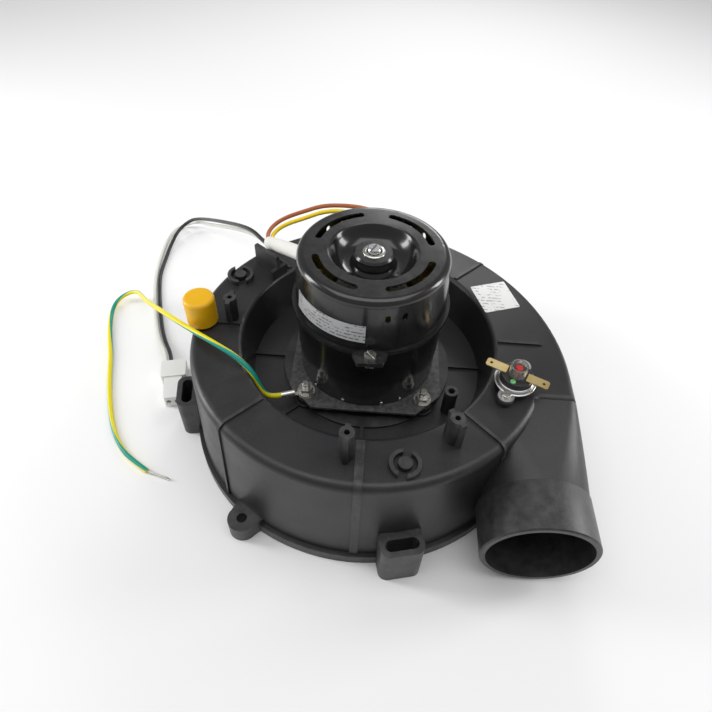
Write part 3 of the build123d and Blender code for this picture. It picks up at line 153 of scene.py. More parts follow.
# worn edges: convex places, broken up by noise
def makeEdgeGroup():
    group, start, end = newGroup("edgeWear", [("Amount", 0.5), ("Scale", 300.0)], ["Mask"])
    shape = group.nodes.new("ShaderNodeNewGeometry")
    convex = addRange(group, shape.outputs["Pointiness"], 0.505, 0.56, 0.0, 1.0)
    patches = addNoise(group, objectCoords(group), start.outputs["Scale"], 4.0, 0.65)
    broken = addMath(group, "MULTIPLY", convex, addRange(group, patches, 0.35, 0.65, 0.2, 1.0))
    group.links.new(addMath(group, "MULTIPLY", broken, start.outputs["Amount"], True),
                    end.inputs["Mask"])
    return group


# dust that settles on faces that look up
def makeDustGroup():
    group, start, end = newGroup("settledDust", [("Amount", 0.2)], ["Mask"])
    shape = group.nodes.new("ShaderNodeNewGeometry")
    split = group.nodes.new("ShaderNodeSeparateXYZ")
    group.links.new(shape.outputs["Normal"], split.inputs["Vector"])
    upward = addRange(group, split.outputs["Z"], 0.35, 1.0, 0.0, 1.0)
    coords = objectCoords(group)
    specks = addRange(group, addNoise(group, coords, 900.0, 5.0, 0.7), 0.52, 0.72, 0.0, 1.0)
    clouds = addRange(group, addNoise(group, coords, 22.0, 3.0, 0.6), 0.35, 0.7, 0.15, 1.0)
    mask = addMath(group, "MULTIPLY", addMath(group, "MULTIPLY", upward, specks), clouds)
    group.links.new(addMath(group, "MULTIPLY", mask, start.outputs["Amount"], True),
                    end.inputs["Mask"])
    return group


# thin long scratches in two crossing directions
def makeScratchGroup():
    group, start, end = newGroup("fineScratches", [("Scale", 90.0), ("Amount", 0.5)], ["Mask"])
    coords = objectCoords(group)
    total = None
    for turn, stretch in ((0.4, 14.0), (1.9, 18.0)):
        lay = group.nodes.new("ShaderNodeMapping")
        lay.inputs["Rotation"].default_value = (0.0, 0.0, turn)
        lay.inputs["Scale"].default_value = (stretch, 0.5, 1.0)
        group.links.new(coords, lay.inputs["Vector"])
        lines = addRange(group, addNoise(group, lay.outputs["Vector"], start.outputs["Scale"], 2.0, 0.5),
                         0.66, 0.74, 0.0, 1.0)
        total = lines if total is None else addMath(group, "MAXIMUM", total, lines)
    group.links.new(addMath(group, "MULTIPLY", total, start.outputs["Amount"], True),
                    end.inputs["Mask"])
    return group


# broken rows of print, as plain marks with no letters
def makePrintGroup():
    group, start, end = newGroup("printedRows", [("Rows", 400.0), ("Along", 700.0), ("Amount", 0.6)],
                                 ["Upright", "Flat"])
    coords = objectCoords(group)
    split = group.nodes.new("ShaderNodeSeparateXYZ")
    group.links.new(coords, split.inputs["Vector"])
    for axis, label in (("Z", "Upright"), ("Y", "Flat")):
        rows = addMath(group, "FRACT", addMath(group, "MULTIPLY", split.outputs[axis],
                                               start.outputs["Rows"]))
        band = addRange(group, rows, 0.56, 0.6, 0.0, 1.0)
        broken = addRange(group, addNoise(group, coords, start.outputs["Along"], 1.0, 0.4),
                          0.47, 0.51, 0.0, 1.0)
        gaps = addRange(group, addNoise(group, coords, 60.0, 1.0, 0.4), 0.42, 0.46, 0.0, 1.0)
        marks = addMath(group, "MULTIPLY", addMath(group, "MULTIPLY", band, broken), gaps)
        group.links.new(addMath(group, "MULTIPLY", marks, start.outputs["Amount"], True),
                        end.inputs[label])
    return group


printGroup = makePrintGroup()
grainGroup = makeGrainGroup()
edgeGroup = makeEdgeGroup()
dustGroup = makeDustGroup()
scratchGroup = makeScratchGroup()
print("shared node groups made")


# ---- one finish from its dictionary
def placeGroup(tree, group, **values):
    node = tree.nodes.new("ShaderNodeGroup")
    node.node_tree = group
    for label, value in values.items():
        node.inputs[label].default_value = value
    return node


def mixColour(tree, mask, a, b):
    node = tree.nodes.new("ShaderNodeMix")
    node.data_type = "RGBA"
    tree.links.new(mask, node.inputs["Factor"])
    for spot, value in (("A", a), ("B", b)):
        socket = [s for s in node.inputs if s.name == spot and s.type == "RGBA"][0]
        if isinstance(value, tuple):
            socket.default_value = (*value, 1.0)
        else:
            tree.links.new(value, socket)
    return [s for s in node.outputs if s.type == "RGBA"][0]


def makeFinish(name, look):
    material = bpy.data.materials.new(name)
    material.use_nodes = True
    tree = material.node_tree
    shader = tree.nodes["Principled BSDF"]
    shader.inputs["Metallic"].default_value = look.get("metallic", 0.0)
    shader.inputs["Coat Weight"].default_value = look.get("coat", 0.0)
    shader.inputs["Coat Roughness"].default_value = look.get("coatRoughness", 0.05)
    shader.inputs["Specular IOR Level"].default_value = look.get("specular", 0.5)
    shader.inputs["Transmission Weight"].default_value = look.get("clear", 0.0)
    shader.inputs["Subsurface Weight"].default_value = look.get("milky", 0.0)
    shader.inputs["Subsurface Radius"].default_value = (0.004, 0.004, 0.004)

    grain = placeGroup(tree, grainGroup, **{"Scale": look.get("grainScale", 1500.0),
                                            "Drift Scale": look.get("driftScale", 40.0)})
    colour = mixColour(tree, grain.outputs["Drift"], look["colour"], look.get("second", look["colour"]))
    roughness = addRange(tree, grain.outputs["Drift"], 0.3, 0.7, *look.get("roughness", (0.4, 0.5)))
    if "wear" in look:
        wear = placeGroup(tree, edgeGroup, **{"Amount": look["wear"],
                                              "Scale": look.get("wearScale", 300.0)})
        colour = mixColour(tree, wear.outputs["Mask"], colour, look["wearColour"])
    if "dust" in look:
        dust = placeGroup(tree, dustGroup, **{"Amount": look["dust"]})
        colour = mixColour(tree, dust.outputs["Mask"], colour, look.get("dustColour", (0.45, 0.44, 0.42)))
        roughness = addMath(tree, "ADD", roughness,
                            addMath(tree, "MULTIPLY", dust.outputs["Mask"], 0.3), True)
    height = addMath(tree, "MULTIPLY", grain.outputs["Grain"], 1.0)
    if "scratches" in look:
        scratch = placeGroup(tree, scratchGroup, **{"Scale": look.get("scratchScale", 90.0),
                                                    "Amount": look["scratches"]})
        roughness = addMath(tree, "ADD", roughness,
                            addMath(tree, "MULTIPLY", scratch.outputs["Mask"], 0.25), True)
        height = addMath(tree, "SUBTRACT", height, scratch.outputs["Mask"])
    if "rings" in look:
        height = addMath(tree, "ADD", height, addRings(tree, look["rings"]))
    if "print" in look:
        ink = look["print"]
        marks = placeGroup(tree, printGroup, **{"Rows": ink["rows"], "Along": ink["along"],
                                                "Amount": ink["amount"]})
        colour = mixColour(tree, marks.outputs[ink["lies"]], colour, ink["colour"])
    if "stripe" in look:
        colour = mixColour(tree, addStripe(tree, look["stripe"]), colour, look["stripe"]["colour"])
    tree.links.new(colour, shader.inputs["Base Color"])
    tree.links.new(roughness, shader.inputs["Roughness"])
    bump = tree.nodes.new("ShaderNodeBump")
    bump.inputs["Strength"].default_value = look.get("bump", 0.2)
    bump.inputs["Distance"].default_value = look.get("depth", 0.00015)
    tree.links.new(height, bump.inputs["Height"])
    tree.links.new(bump.outputs["Normal"], shader.inputs["Normal"])
    return material


# even grooves along one axis, or round the motor axis, for threads, turns and laminations
def addRings(tree, rings):
    wave = tree.nodes.new("ShaderNodeTexWave")
    wave.wave_type = "BANDS" if rings["axis"] in ("X", "Y", "Z") else "RINGS"
    if wave.wave_type == "BANDS":
        wave.bands_direction = rings["axis"]
    else:
        wave.rings_direction = "Z"
    wave.inputs["Scale"].default_value = rings["scale"]
    wave.inputs["Distortion"].default_value = rings.get("waver", 0.0)
    wave.inputs["Detail"].default_value = 1.0
    wave.inputs["Detail Scale"].default_value = rings.get("waverScale", 1.0)
    tree.links.new(objectCoords(tree), wave.inputs["Vector"])
    return addMath(tree, "MULTIPLY", wave.outputs["Fac"], rings["depth"])


# a stripe along a bevelled curve, by its across coordinate
def addStripe(tree, stripe):
    coords = tree.nodes.new("ShaderNodeTexCoord")
    split = tree.nodes.new("ShaderNodeSeparateXYZ")
    tree.links.new(coords.outputs["UV"], split.inputs["Vector"])
    along = addMath(tree, "MULTIPLY", split.outputs["X"], stripe["twist"])
    turned = addMath(tree, "FRACT", addMath(tree, "ADD", split.outputs["Y"], along))
    near = addRange(tree, addMath(tree, "ABSOLUTE", addMath(tree, "SUBTRACT", turned, 0.5)),
                    stripe["half"], stripe["half"] + 0.02, 1.0, 0.0)
    return near


finishes = {
    "housing_plastic": {"colour": (0.012, 0.012, 0.0135), "second": (0.02, 0.02, 0.022),
                        "roughness": (0.34, 0.46), "grainScale": 1300.0, "driftScale": 28.0,
                        "bump": 0.42, "depth": 0.00012, "wear": 0.5, "wearColour": (0.09, 0.09, 0.092),
                        "wearScale": 160.0, "dust": 0.12, "dustColour": (0.2, 0.2, 0.195),
                        "scratches": 0.3, "scratchScale": 60.0},
    "impeller_plastic": {"colour": (0.03, 0.03, 0.032), "second": (0.045, 0.045, 0.047),
                         "roughness": (0.45, 0.55), "grainScale": 1800.0, "bump": 0.25, "dust": 0.1},
    "motor_black": {"colour": (0.006, 0.006, 0.007), "second": (0.011, 0.011, 0.012),
                    "roughness": (0.16, 0.26), "grainScale": 420.0, "driftScale": 60.0, "bump": 0.1,
                    "depth": 0.00006, "coat": 0.35, "coatRoughness": 0.08, "wear": 0.2,
                    "wearColour": (0.1, 0.098, 0.095), "dust": 0.05, "dustColour": (0.2, 0.19, 0.19)},
    "black_steel": {"colour": (0.012, 0.012, 0.013), "second": (0.02, 0.02, 0.021),
                    "roughness": (0.3, 0.42), "grainScale": 900.0, "bump": 0.15, "wear": 0.6,
                    "wearColour": (0.16, 0.155, 0.15), "dust": 0.05},
    "plated_steel": {"colour": (0.56, 0.56, 0.55), "second": (0.66, 0.66, 0.66), "metallic": 1.0,
                     "roughness": (0.22, 0.36), "grainScale": 700.0, "bump": 0.08, "scratches": 0.5,
                     "wear": 0.3, "wearColour": (0.8, 0.8, 0.8)},
    "zinc_hardware": {"colour": (0.52, 0.52, 0.5), "second": (0.66, 0.64, 0.57), "metallic": 1.0,
                      "roughness": (0.2, 0.36), "grainScale": 900.0, "driftScale": 220.0, "bump": 0.12,
                      "wear": 0.4, "wearColour": (0.82, 0.81, 0.78)},
    "shaft_steel": {"colour": (0.55, 0.55, 0.56), "second": (0.63, 0.63, 0.64), "metallic": 1.0,
                    "roughness": (0.14, 0.24), "bump": 0.05,
                    "rings": {"axis": "Z", "scale": 1800.0, "depth": 0.4}},
    "cast_aluminium": {"colour": (0.62, 0.62, 0.63), "second": (0.7, 0.7, 0.71), "metallic": 1.0,
                       "roughness": (0.36, 0.5), "grainScale": 1600.0, "bump": 0.3},
    "lamination_steel": {"colour": (0.2, 0.2, 0.21), "second": (0.3, 0.3, 0.31), "metallic": 1.0,
                         "roughness": (0.4, 0.55), "bump": 0.5,
                         "rings": {"axis": "Z", "scale": 640.0, "depth": 1.0}},
    "winding_copper": {"colour": (0.66, 0.42, 0.07), "second": (0.66, 0.66, 0.12), "metallic": 0.3,
                       "roughness": (0.25, 0.4), "bump": 0.9, "depth": 0.0004, "driftScale": 120.0,
                       "rings": {"axis": "AROUND", "scale": 420.0, "depth": 1.6, "waver": 3.0,
                                 "waverScale": 2.0}},
    "strand_enamel": {"colour": (0.82, 0.6, 0.07), "second": (0.6, 0.68, 0.1), "metallic": 0.2,
                      "roughness": (0.2, 0.32), "driftScale": 160.0, "bump": 0.1},
    "bearing_bronze": {"colour": (0.42, 0.27, 0.12), "second": (0.5, 0.34, 0.17), "metallic": 1.0,
                       "roughness": (0.42, 0.55), "grainScale": 2200.0, "bump": 0.3},
    "black_rubber": {"colour": (0.018, 0.018, 0.018), "second": (0.03, 0.03, 0.03),
                     "roughness": (0.6, 0.75), "grainScale": 1700.0, "bump": 0.3, "dust": 0.3},
    "gasket_foam": {"colour": (0.05, 0.05, 0.05), "second": (0.08, 0.08, 0.08),
                    "roughness": (0.8, 0.92), "grainScale": 2300.0, "bump": 0.8, "depth": 0.0003},
    "white_nylon": {"colour": (0.79, 0.8, 0.77), "second": (0.86, 0.87, 0.85),
                    "roughness": (0.3, 0.42), "milky": 0.25, "grainScale": 1200.0, "bump": 0.1,
                    "dust": 0.08, "dustColour": (0.5, 0.49, 0.47)},
    "phenolic": {"colour": (0.008, 0.008, 0.008), "second": (0.014, 0.014, 0.014), "coat": 0.3,
                 "roughness": (0.3, 0.45), "grainScale": 1500.0, "bump": 0.2, "dust": 0.15},
    "brass_terminal": {"colour": (0.8, 0.56, 0.16), "second": (0.86, 0.66, 0.28), "metallic": 1.0,
                       "roughness": (0.26, 0.38), "grainScale": 800.0, "bump": 0.1, "scratches": 0.4,
                       "scratchScale": 240.0, "wear": 0.3, "wearColour": (0.9, 0.84, 0.66)},
    "tin_terminal": {"colour": (0.6, 0.59, 0.56), "second": (0.7, 0.69, 0.66), "metallic": 1.0,
                     "roughness": (0.26, 0.4), "grainScale": 900.0, "bump": 0.12},
    "clear_guard": {"colour": (0.86, 0.88, 0.84), "second": (0.9, 0.91, 0.88), "clear": 0.85,
                    "roughness": (0.08, 0.16), "grainScale": 600.0, "bump": 0.04},
    "green_paint": {"colour": (0.12, 0.5, 0.14), "second": (0.2, 0.62, 0.2),
                    "roughness": (0.35, 0.5), "grainScale": 1400.0, "bump": 0.2},
    "red_button": {"colour": (0.52, 0.012, 0.008), "second": (0.6, 0.02, 0.012),
                   "roughness": (0.25, 0.33), "grainScale": 1200.0, "bump": 0.06, "coat": 0.2},
    "yellow_vinyl": {"colour": (0.84, 0.43, 0.002), "second": (0.9, 0.52, 0.004),
                     "roughness": (0.34, 0.46), "milky": 0.12, "grainScale": 700.0, "driftScale": 90.0,
                     "bump": 0.16, "dust": 0.12, "dustColour": (0.5, 0.34, 0.08)},
    "white_label": {"colour": (0.8, 0.8, 0.79), "second": (0.85, 0.85, 0.84),
                    "roughness": (0.38, 0.5), "grainScale": 1500.0, "bump": 0.05, "dust": 0.1,
                    "print": {"rows": 330.0, "along": 520.0, "amount": 0.5, "lies": "Flat",
                              "colour": (0.12, 0.12, 0.12)}},
    "silver_label": {"colour": (0.5, 0.51, 0.52), "second": (0.6, 0.61, 0.62), "metallic": 0.4,
                     "roughness": (0.34, 0.46), "grainScale": 900.0, "bump": 0.05,
                     "print": {"rows": 420.0, "along": 600.0, "amount": 0.7, "lies": "Upright",
                               "colour": (0.05, 0.05, 0.055)}},
    "capacitor_plastic": {"colour": (0.02, 0.02, 0.022), "second": (0.03, 0.03, 0.032),
                          "roughness": (0.22, 0.32), "grainScale": 1100.0, "bump": 0.1, "dust": 0.2},
    "sleeve_cream": {"colour": (0.74, 0.73, 0.68), "second": (0.82, 0.81, 0.77),
                     "roughness": (0.45, 0.6), "milky": 0.1, "grainScale": 1100.0, "bump": 0.3,
                     "depth": 0.0002, "dust": 0.15},
    "black_wire": {"colour": (0.014, 0.014, 0.015), "second": (0.024, 0.024, 0.026),
                   "roughness": (0.32, 0.42), "grainScale": 1200.0, "bump": 0.12, "dust": 0.15},
    "white_wire": {"colour": (0.66, 0.66, 0.6), "second": (0.76, 0.76, 0.71),
                   "roughness": (0.35, 0.48), "grainScale": 1200.0, "bump": 0.12, "dust": 0.2},
    "yellow_wire": {"colour": (0.85, 0.6, 0.004), "second": (0.9, 0.68, 0.008),
                    "roughness": (0.3, 0.42), "grainScale": 1200.0, "bump": 0.12},
    "brown_wire": {"colour": (0.36, 0.1, 0.035), "second": (0.44, 0.14, 0.05),
                   "roughness": (0.32, 0.44), "grainScale": 1200.0, "bump": 0.12},
    "ground_wire": {"colour": (0.8, 0.68, 0.0), "second": (0.86, 0.75, 0.01),
                    "roughness": (0.28, 0.38), "grainScale": 1200.0, "bump": 0.1,
                    "stripe": {"colour": (0.0, 0.3, 0.23), "half": 0.17, "twist": 2.6}},
    "tin_strands": {"colour": (0.66, 0.63, 0.58), "second": (0.74, 0.72, 0.68), "metallic": 1.0,
                    "roughness": (0.24, 0.36), "grainScale": 900.0, "bump": 0.1},
}
# record pieces take the finish named in their slot; the extra finishes go on the added pieces by name
materials = {name: makeFinish(name, look) for name, look in finishes.items()}
print("%d finishes made" % len(materials))

for part in frame["record"]["subparts"]:
    piece = nodes[part["node"]]
    piece.data.materials.clear()
    piece.data.materials.append(materials[part["material_slot"]])


# ---- cords: one smooth curve each, on the route the harness takes
def routeCurve(name, route):
    curve = bpy.data.curves.new(name, "CURVE")
    curve.dimensions = "3D"
    curve.resolution_u = 16
    spline = curve.splines.new("NURBS")
    spline.points.add(len(route) - 1)
    for point, place in zip(spline.points, route):
        point.co = (*[value / 1000 for value in place], 1.0)
    spline.order_u = 3
    spline.use_endpoint_u = True
    return curve


def layCord(name, route, diameter, finish, cadNode):
    curve = routeCurve(name, route)
    curve.bevel_depth = diameter / 2
    curve.bevel_resolution = 6
    curve.use_fill_caps = True
    curve.materials.append(materials[finish])
    cord = bpy.data.objects.new(name, curve)
    scene.collection.objects.link(cord)
    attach(cord, "root")
    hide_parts(cadNode)
    return cord


# a route's smooth line, read back from its own spline
def smoothLine(route):
    curve = routeCurve("line", route)
    holder = bpy.data.objects.new("line", curve)
    mesh = bpy.data.meshes.new_from_object(holder)
    line = [vertex.co.copy() for vertex in mesh.vertices]
    bpy.data.objects.remove(holder)
    bpy.data.meshes.remove(mesh)
    return line


def addWire(name, lines, radius, finish, sides=3):
    curve = bpy.data.curves.new(name, "CURVE")
    curve.dimensions = "3D"
    curve.bevel_depth = radius
    curve.bevel_resolution = sides
    curve.use_fill_caps = True
    for line in lines:
        spline = curve.splines.new("POLY")
        spline.points.add(len(line) - 1)
        for point, place in zip(spline.points, line):
            point.co = (*place, 1.0)
        spline.use_smooth = True
    curve.materials.append(materials[finish])
    wire = bpy.data.objects.new(name, curve)
    scene.collection.objects.link(wire)
    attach(wire, "root")
    return wire


# bare strands: each winds about the line and the ends fray apart
bareEnd = {"count": 9, "strand": 0.00019, "bundle": 0.00052, "turns": 2.5, "fray": 0.0004}


def twistStrands(name, route, look):
    line = smoothLine(route)
    last = len(line) - 1
    lines = []
    for number in range(look["count"]):
        start = math.tau * number / look["count"]
        cut = last - random.randint(0, 3)
        path = []
        for step, place in enumerate(line[:cut + 1]):
            share = step / last
            ahead = (line[min(step + 1, last)] - line[max(step - 1, 0)]).normalized()
            side = ahead.cross(Vector((0, 0, 1))).normalized()
            lift = side.cross(ahead)
            angle = start + math.tau * look["turns"] * share
            reach = look["bundle"] + look["fray"] * share ** 3
            path.append(place + reach * (math.cos(angle) * side + 0.75 * math.sin(angle) * lift))
        lines.append(path)
    piece = addWire(name, lines, look["strand"], "tin_strands")
    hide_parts("ground_strands")
    return piece


leadLook = {"lead": 0.0031, "ground": 0.0034, "sleeve": 0.0095}

# routes in millimetres
sleeveRoute = (
    (-39.5, 19.5, 123.0), (-50.0, 31.5, 117.5), (-64.5, 56.0, 102.0), (-77.0, 79.0, 86.5),
)
blackRoute = (
    (-77.8, 75.6, 88.0), (-81.2, 80.4, 84.9), (-91.5, 93.6, 84.6), (-104.0, 110.0, 77.0),
    (-127.8, 139.9, 58.0), (-151.0, 171.0, 37.0), (-169.5, 194.0, 20.5), (-181.5, 201.0, 13.0),
    (-191.8, 192.0, 7.0), (-194.8, 174.5, 3.0), (-194.6, 154.0, 1.6), (-193.4, 132.5, 1.6),
    (-187.6, 110.0, 1.6), (-177.0, 77.5, 1.6), (-166.8, 52.4, 2.5), (-153.5, 31.0, 5.6),
    (-151.0, 19.9, 6.0),
)
whiteRoute = (
    (-75.2, 75.7, 86.0), (-78.2, 80.9, 82.8), (-89.5, 94.5, 80.3), (-106.3, 115.7, 69.0),
    (-130.6, 147.2, 48.0), (-154.5, 177.0, 27.0), (-169.5, 198.0, 13.5), (-182.5, 208.0, 5.2),
    (-195.0, 204.5, 1.8), (-200.6, 190.0, 1.6), (-200.4, 163.0, 1.6), (-197.4, 134.0, 1.6),
    (-191.6, 109.2, 1.6), (-181.0, 77.0, 1.6), (-170.8, 51.6, 2.5), (-157.2, 30.6, 5.6),
    (-154.5, 19.1, 6.0),
)
yellowRoute = (
    (-73.8, 77.8, 88.0), (-76.8, 83.3, 84.4), (-77.7, 90.6, 84.0), (-74.3, 97.1, 85.9),
    (-66.6, 100.4, 89.3), (-54.0, 101.0, 94.5), (-41.0, 101.0, 101.0), (-28.0, 100.5, 103.6),
    (-19.0, 98.0, 104.0), (-11.5, 95.5, 103.5),
)
brownRoute = (
    (-76.4, 77.7, 90.0), (-79.7, 83.8, 86.2), (-80.8, 92.7, 86.0), (-76.5, 100.8, 88.2),
    (-67.6, 104.8, 92.2), (-54.0, 106.2, 97.5), (-41.0, 106.2, 103.0), (-26.0, 105.5, 105.0),
    (-11.0, 103.8, 105.4), (-3.0, 101.2, 104.5), (4.0, 99.5, 103.5),
)
groundRoute = (
    (-50.5, -41.9, 62.2), (-56.6, -44.1, 62.2), (-62.0, -45.0, 65.8), (-65.0, -43.6, 72.0),
    (-69.0, -40.5, 81.2), (-79.5, -34.5, 87.3), (-92.4, -27.4, 88.6), (-114.1, -12.5, 85.5),
    (-143.5, 16.5, 70.5), (-170.6, 50.6, 45.5), (-186.5, 75.5, 27.5), (-199.6, 94.8, 13.0),
    (-208.6, 98.6, 8.0), (-216.8, 94.6, 4.6), (-220.2, 84.6, 2.4), (-216.4, 66.0, 1.9),
    (-210.0, 47.5, 1.9), (-203.2, 30.5, 1.9), (-196.0, 6.2, 1.9), (-187.3, -17.0, 1.9),
    (-177.8, -37.7, 1.9), (-166.9, -52.8, 1.9), (-155.4, -62.3, 1.9), (-143.3, -69.2, 1.9),
)
strandRoute = ((-144.0, -68.9, 1.9), (-135.4, -71.6, 1.5), (-126.7, -73.5, 1.0))

sleeve = layCord("leadSleeve", sleeveRoute, leadLook["sleeve"], "sleeve_cream", "lead_sleeve")
blackLead = layCord("blackLead", blackRoute, leadLook["lead"], "black_wire", "black_lead")
whiteLead = layCord("whiteLead", whiteRoute, leadLook["lead"], "white_wire", "white_lead")
yellowLead = layCord("yellowLead", yellowRoute, leadLook["lead"], "yellow_wire", "yellow_lead")
brownLead = layCord("brownLead", brownRoute, leadLook["lead"], "brown_wire", "brown_lead")
groundWire = layCord("groundWire", groundRoute, leadLook["ground"], "ground_wire", "ground_wire")
strands = twistStrands("groundStrands", strandRoute, bareEnd)


print("cords laid")


# ---- small pieces on the motor and the switch
def lathe(name, profile, centre, finish, sides=64):
    mesh = bmesh.new()
    rings = []
    for number in range(sides):
        angle = math.tau * number / sides
        rings.append([mesh.verts.new((centre[0] + radius * math.cos(angle),
                                      centre[1] + radius * math.sin(angle), centre[2] + height))
                      for radius, height in profile])
    count = len(profile)
    for number in range(sides):
        here, after = rings[number], rings[(number + 1) % sides]
        for spot in range(count):
            other = (spot + 1) % count
            mesh.faces.new((here[spot], after[spot], after[other], here[other]))
    bmesh.ops.recalc_face_normals(mesh, faces=mesh.faces)
    return finishPiece(name, mesh, finish)


def finishPiece(name, mesh, finish):
    data = bpy.data.meshes.new(name)
    mesh.to_mesh(data)
    mesh.free()
    data.materials.append(materials[finish])
    for face in data.polygons:
        face.use_smooth = True
    piece = bpy.data.objects.new(name, data)
    scene.collection.objects.link(piece)
    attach(piece, "root")
    return piece


# domes pressed on a wall that stands upright about the motor axis
rivets = {"angles": (226, 253, 284, 300, 40, 73, 120, 160), "height": 0.0625, "wall": 0.045,
          "radius": 0.0011, "proud": 0.0006, "steps": 10}


def addRivets(r):
    mesh = bmesh.new()
    for degrees in r["angles"]:
        angle = math.radians(degrees)
        outward = Vector((math.cos(angle), math.sin(angle), 0))
        along = Vector((-math.sin(angle), math.cos(angle), 0))
        up = Vector((0, 0, 1))
        centre = outward * r["wall"] + up * r["height"]
        loops = []
        for radius, proud in ((1.0, -0.6), (1.0, 0.25), (0.72, 0.8), (0.3, 1.0)):
            loops.append([mesh.verts.new(centre + outward * (proud * r["proud"]) + radius * r["radius"]
                                         * (math.cos(turn) * along + math.sin(turn) * up))
                          for turn in [math.tau * step / r["steps"] for step in range(r["steps"])]])
        for low, high in zip(loops, loops[1:]):
            for step in range(r["steps"]):
                other = (step + 1) % r["steps"]
                mesh.faces.new((low[step], low[other], high[other], high[step]))
        mesh.faces.new(loops[-1])
        mesh.faces.new(list(reversed(loops[0])))
    bmesh.ops.recalc_face_normals(mesh, faces=mesh.faces)
    return finishPiece("shellRivets", mesh, "zinc_hardware")


addRivets(rivets)

# collar pressed round the shaft hole in the hub
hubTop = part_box("upper_motor_shell")[1][2]
collar = {"profile": ((0.0044, -0.0004), (0.0044, 0.0003), (0.0050, 0.0006), (0.0056, 0.0003),
                      (0.0064, 0.0003), (0.0069, -0.0004)),
          "below": 0.0012}
lathe("hubCollar", collar["profile"], (0, 0, hubTop - collar["below"]), "zinc_hardware")

# coils: single strands on top of the bundles, and white lacing round them
coils = {"angles": (45, 135, 225, 315), "span": 68.0, "mid": 0.0347, "half": 0.0039, "rise": 0.0125,
         "strand": 0.00034, "rows": 13, "ties": (-26, -9, 9, 26), "tie": 0.0006,
         "steps": 28, "sides": 14, "sunk": 0.0005, "covered": 0.72, "tieReach": 1.12, "tieSkew": 5.0}
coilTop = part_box("stator_windings")[1][2]


# the strands lie over a rounded section; share runs from its inner foot to its outer foot
def coilSection(c, share):
    turn = math.pi * (1 - share)
    return (c["mid"] + c["half"] * math.cos(turn),
            coilTop + c["rise"] * (0.35 + 0.65 * math.sin(turn) ** 0.6))


def crownCoils(c):
    mesh = bmesh.new()
    steps, sides = c["steps"], c["sides"]
    for middle in c["angles"]:
        loops = []
        for step in range(steps + 1):
            angle = math.radians(middle + c["span"] * (step / steps - 0.5))
            slope = min(1.0, 6.0 * min(step, steps - step) / steps) ** 0.5
            loop = []
            for side in range(sides + 1):
                reach, height = coilSection(c, side / sides)
                height = coilTop + (height - coilTop) * slope
                loop.append(mesh.verts.new((reach * math.cos(angle), reach * math.sin(angle), height)))
            for reach in (c["mid"] + c["half"], c["mid"] - c["half"]):
                loop.append(mesh.verts.new((reach * math.cos(angle), reach * math.sin(angle),
                                            coilTop - c["sunk"])))
            loops.append(loop)
        count = len(loops[0])
        for near, far in zip(loops, loops[1:]):
            for spot in range(count):
                other = (spot + 1) % count
                mesh.faces.new((near[spot], near[other], far[other], far[spot]))
        mesh.faces.new(loops[0])
        mesh.faces.new(list(reversed(loops[-1])))
    bmesh.ops.recalc_face_normals(mesh, faces=mesh.faces)
    return finishPiece("coilCrowns", mesh, "winding_copper")


def windStrands(c):
    lines = []
    for middle in c["angles"]:
        for row in range(c["rows"]):
            share = row / (c["rows"] - 1)
            sway, phase = random.uniform(0.02, 0.05), random.uniform(0, math.tau)
            line = []
            for step in range(25):
                angle = math.radians(middle + c["span"] * c["covered"] * (step / 24 - 0.5))
                place = min(1.0, max(0.0, share + sway * math.sin(phase + step * 0.6)))
                reach, height = coilSection(c, place)
                line.append((reach * math.cos(angle), reach * math.sin(angle), height + 0.0001))
            lines.append(line)
    return addWire("windingStrands", lines, c["strand"], "strand_enamel")


def laceCoils(c):
    loops = []
    for middle in c["angles"]:
        for lean in c["ties"]:
            angle = math.radians(middle + lean)
            line = []
            for step in range(13):
                reach, height = coilSection(c, step / 12)
                turn = math.radians(c["tieSkew"] * (step / 12 - 0.5))
                reach = c["mid"] + (reach - c["mid"]) * c["tieReach"]
                line.append((reach * math.cos(angle + turn), reach * math.sin(angle + turn),
                             height + 0.0007))
            loops.append(line)
    return addWire("coilLacing", loops, c["tie"], "white_nylon", sides=2)


crownCoils(coils)
windStrands(coils)
laceCoils(coils)

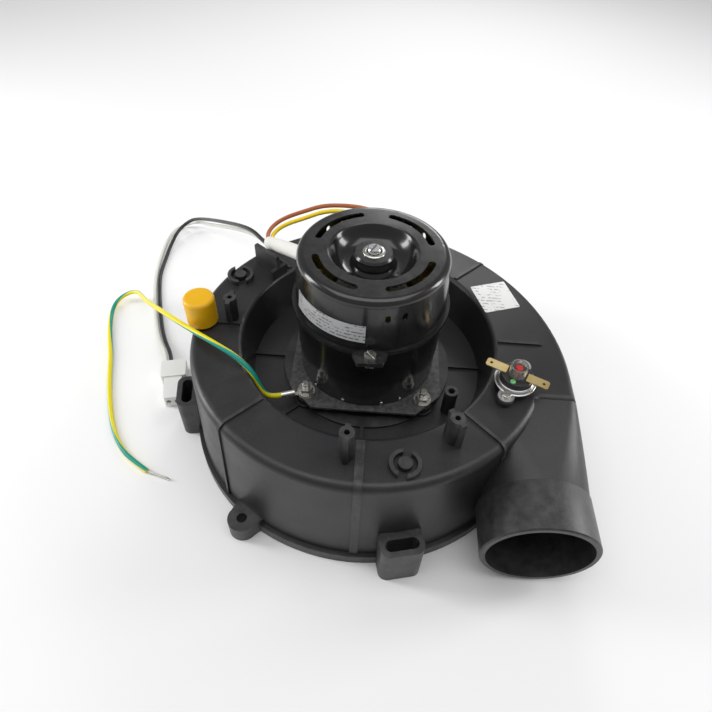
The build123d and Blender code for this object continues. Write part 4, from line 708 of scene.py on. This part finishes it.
# metal cup that the switch body is crimped into, and a paint dot on the body
switchLow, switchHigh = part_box("limit_switch_body")
switchMiddle = [(switchLow[axis] + switchHigh[axis]) / 2 for axis in (0, 1)]
switchReach = (switchHigh[0] - switchLow[0]) / 2
cup = ((0.0001, 0.0), (0.0013, 0.0), (0.0014, 0.0016), (0.0009, 0.0022), (0.0001, 0.0022))
lathe("switchCup", [(switchReach + out, height) for out, height in cup],
      (*switchMiddle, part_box("limit_switch_flange")[1][2]), "plated_steel")
plate = ((0.0012, 0.0), (0.0031, 0.0), (0.0033, 0.0003), (0.0031, 0.0006), (0.0012, 0.0006))
lathe("switchPlate", [(switchReach + out, height) for out, height in plate],
      (*switchMiddle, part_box("limit_switch_flange")[1][2]), "plated_steel")
dot = ((0.00005, -0.0002), (0.0017, -0.0002), (0.0016, 0.0002), (0.00005, 0.0004))
lathe("switchDot", dot, (switchMiddle[0] - 0.0033, switchMiddle[1] - 0.0062, switchHigh[2]),
      "green_paint", sides=24)
print("motor and switch details made")


# ---- floor, world and lights
def addLight(name, place, aim, size, power):
    data = bpy.data.lights.new(name, "AREA")
    data.shape = "RECTANGLE"
    data.size = size[0]
    data.size_y = size[1]
    data.energy = power
    lamp = bpy.data.objects.new(name, data)
    lamp.location = place
    lamp.rotation_euler = (Vector(aim) - Vector(place)).to_track_quat("-Z", "Y").to_euler()
    scene.collection.objects.link(lamp)


studio = {"world": 0.32, "floor": 0.93, "display": "Standard"}


def dressStage(s):
    mesh = bpy.data.meshes.new("studioFloor")
    half = 3.0
    mesh.from_pydata([(-half, -half, 0), (half, -half, 0), (half, half, 0), (-half, half, 0)], [],
                     [(0, 1, 2, 3)])
    floor = bpy.data.objects.new("studioFloor", mesh)
    floor.location.z = -0.0002
    paper = bpy.data.materials.new("palePaper")
    paper.use_nodes = True
    shader = paper.node_tree.nodes["Principled BSDF"]
    shader.inputs["Base Color"].default_value = (s["floor"], s["floor"], s["floor"], 1)
    shader.inputs["Roughness"].default_value = 0.9
    mesh.materials.append(paper)
    scene.collection.objects.link(floor)
    scene.view_settings.view_transform = s["display"]
    world = bpy.data.worlds.new("studioWorld")
    scene.world = world
    world.use_nodes = True
    world.node_tree.nodes["Background"].inputs["Color"].default_value = (1, 1, 1, 1)
    world.node_tree.nodes["Background"].inputs["Strength"].default_value = s["world"]


dressStage(studio)
addLight("ceilingBox", (0.0, -0.15, 1.7), (0, 0, 0), (2.2, 1.2), 15.0)
addLight("backBox", (0.15, 0.95, 0.6), (0, 0, 0.1), (0.4, 0.2), 2.0)
addLight("leftBox", (-0.9, 0.05, 0.4), (0, 0, 0.08), (0.22, 0.6), 4.5)
addLight("rightBox", (0.85, 0.15, 0.4), (0, 0, 0.08), (0.2, 0.5), 3.0)
print("stage dressed")
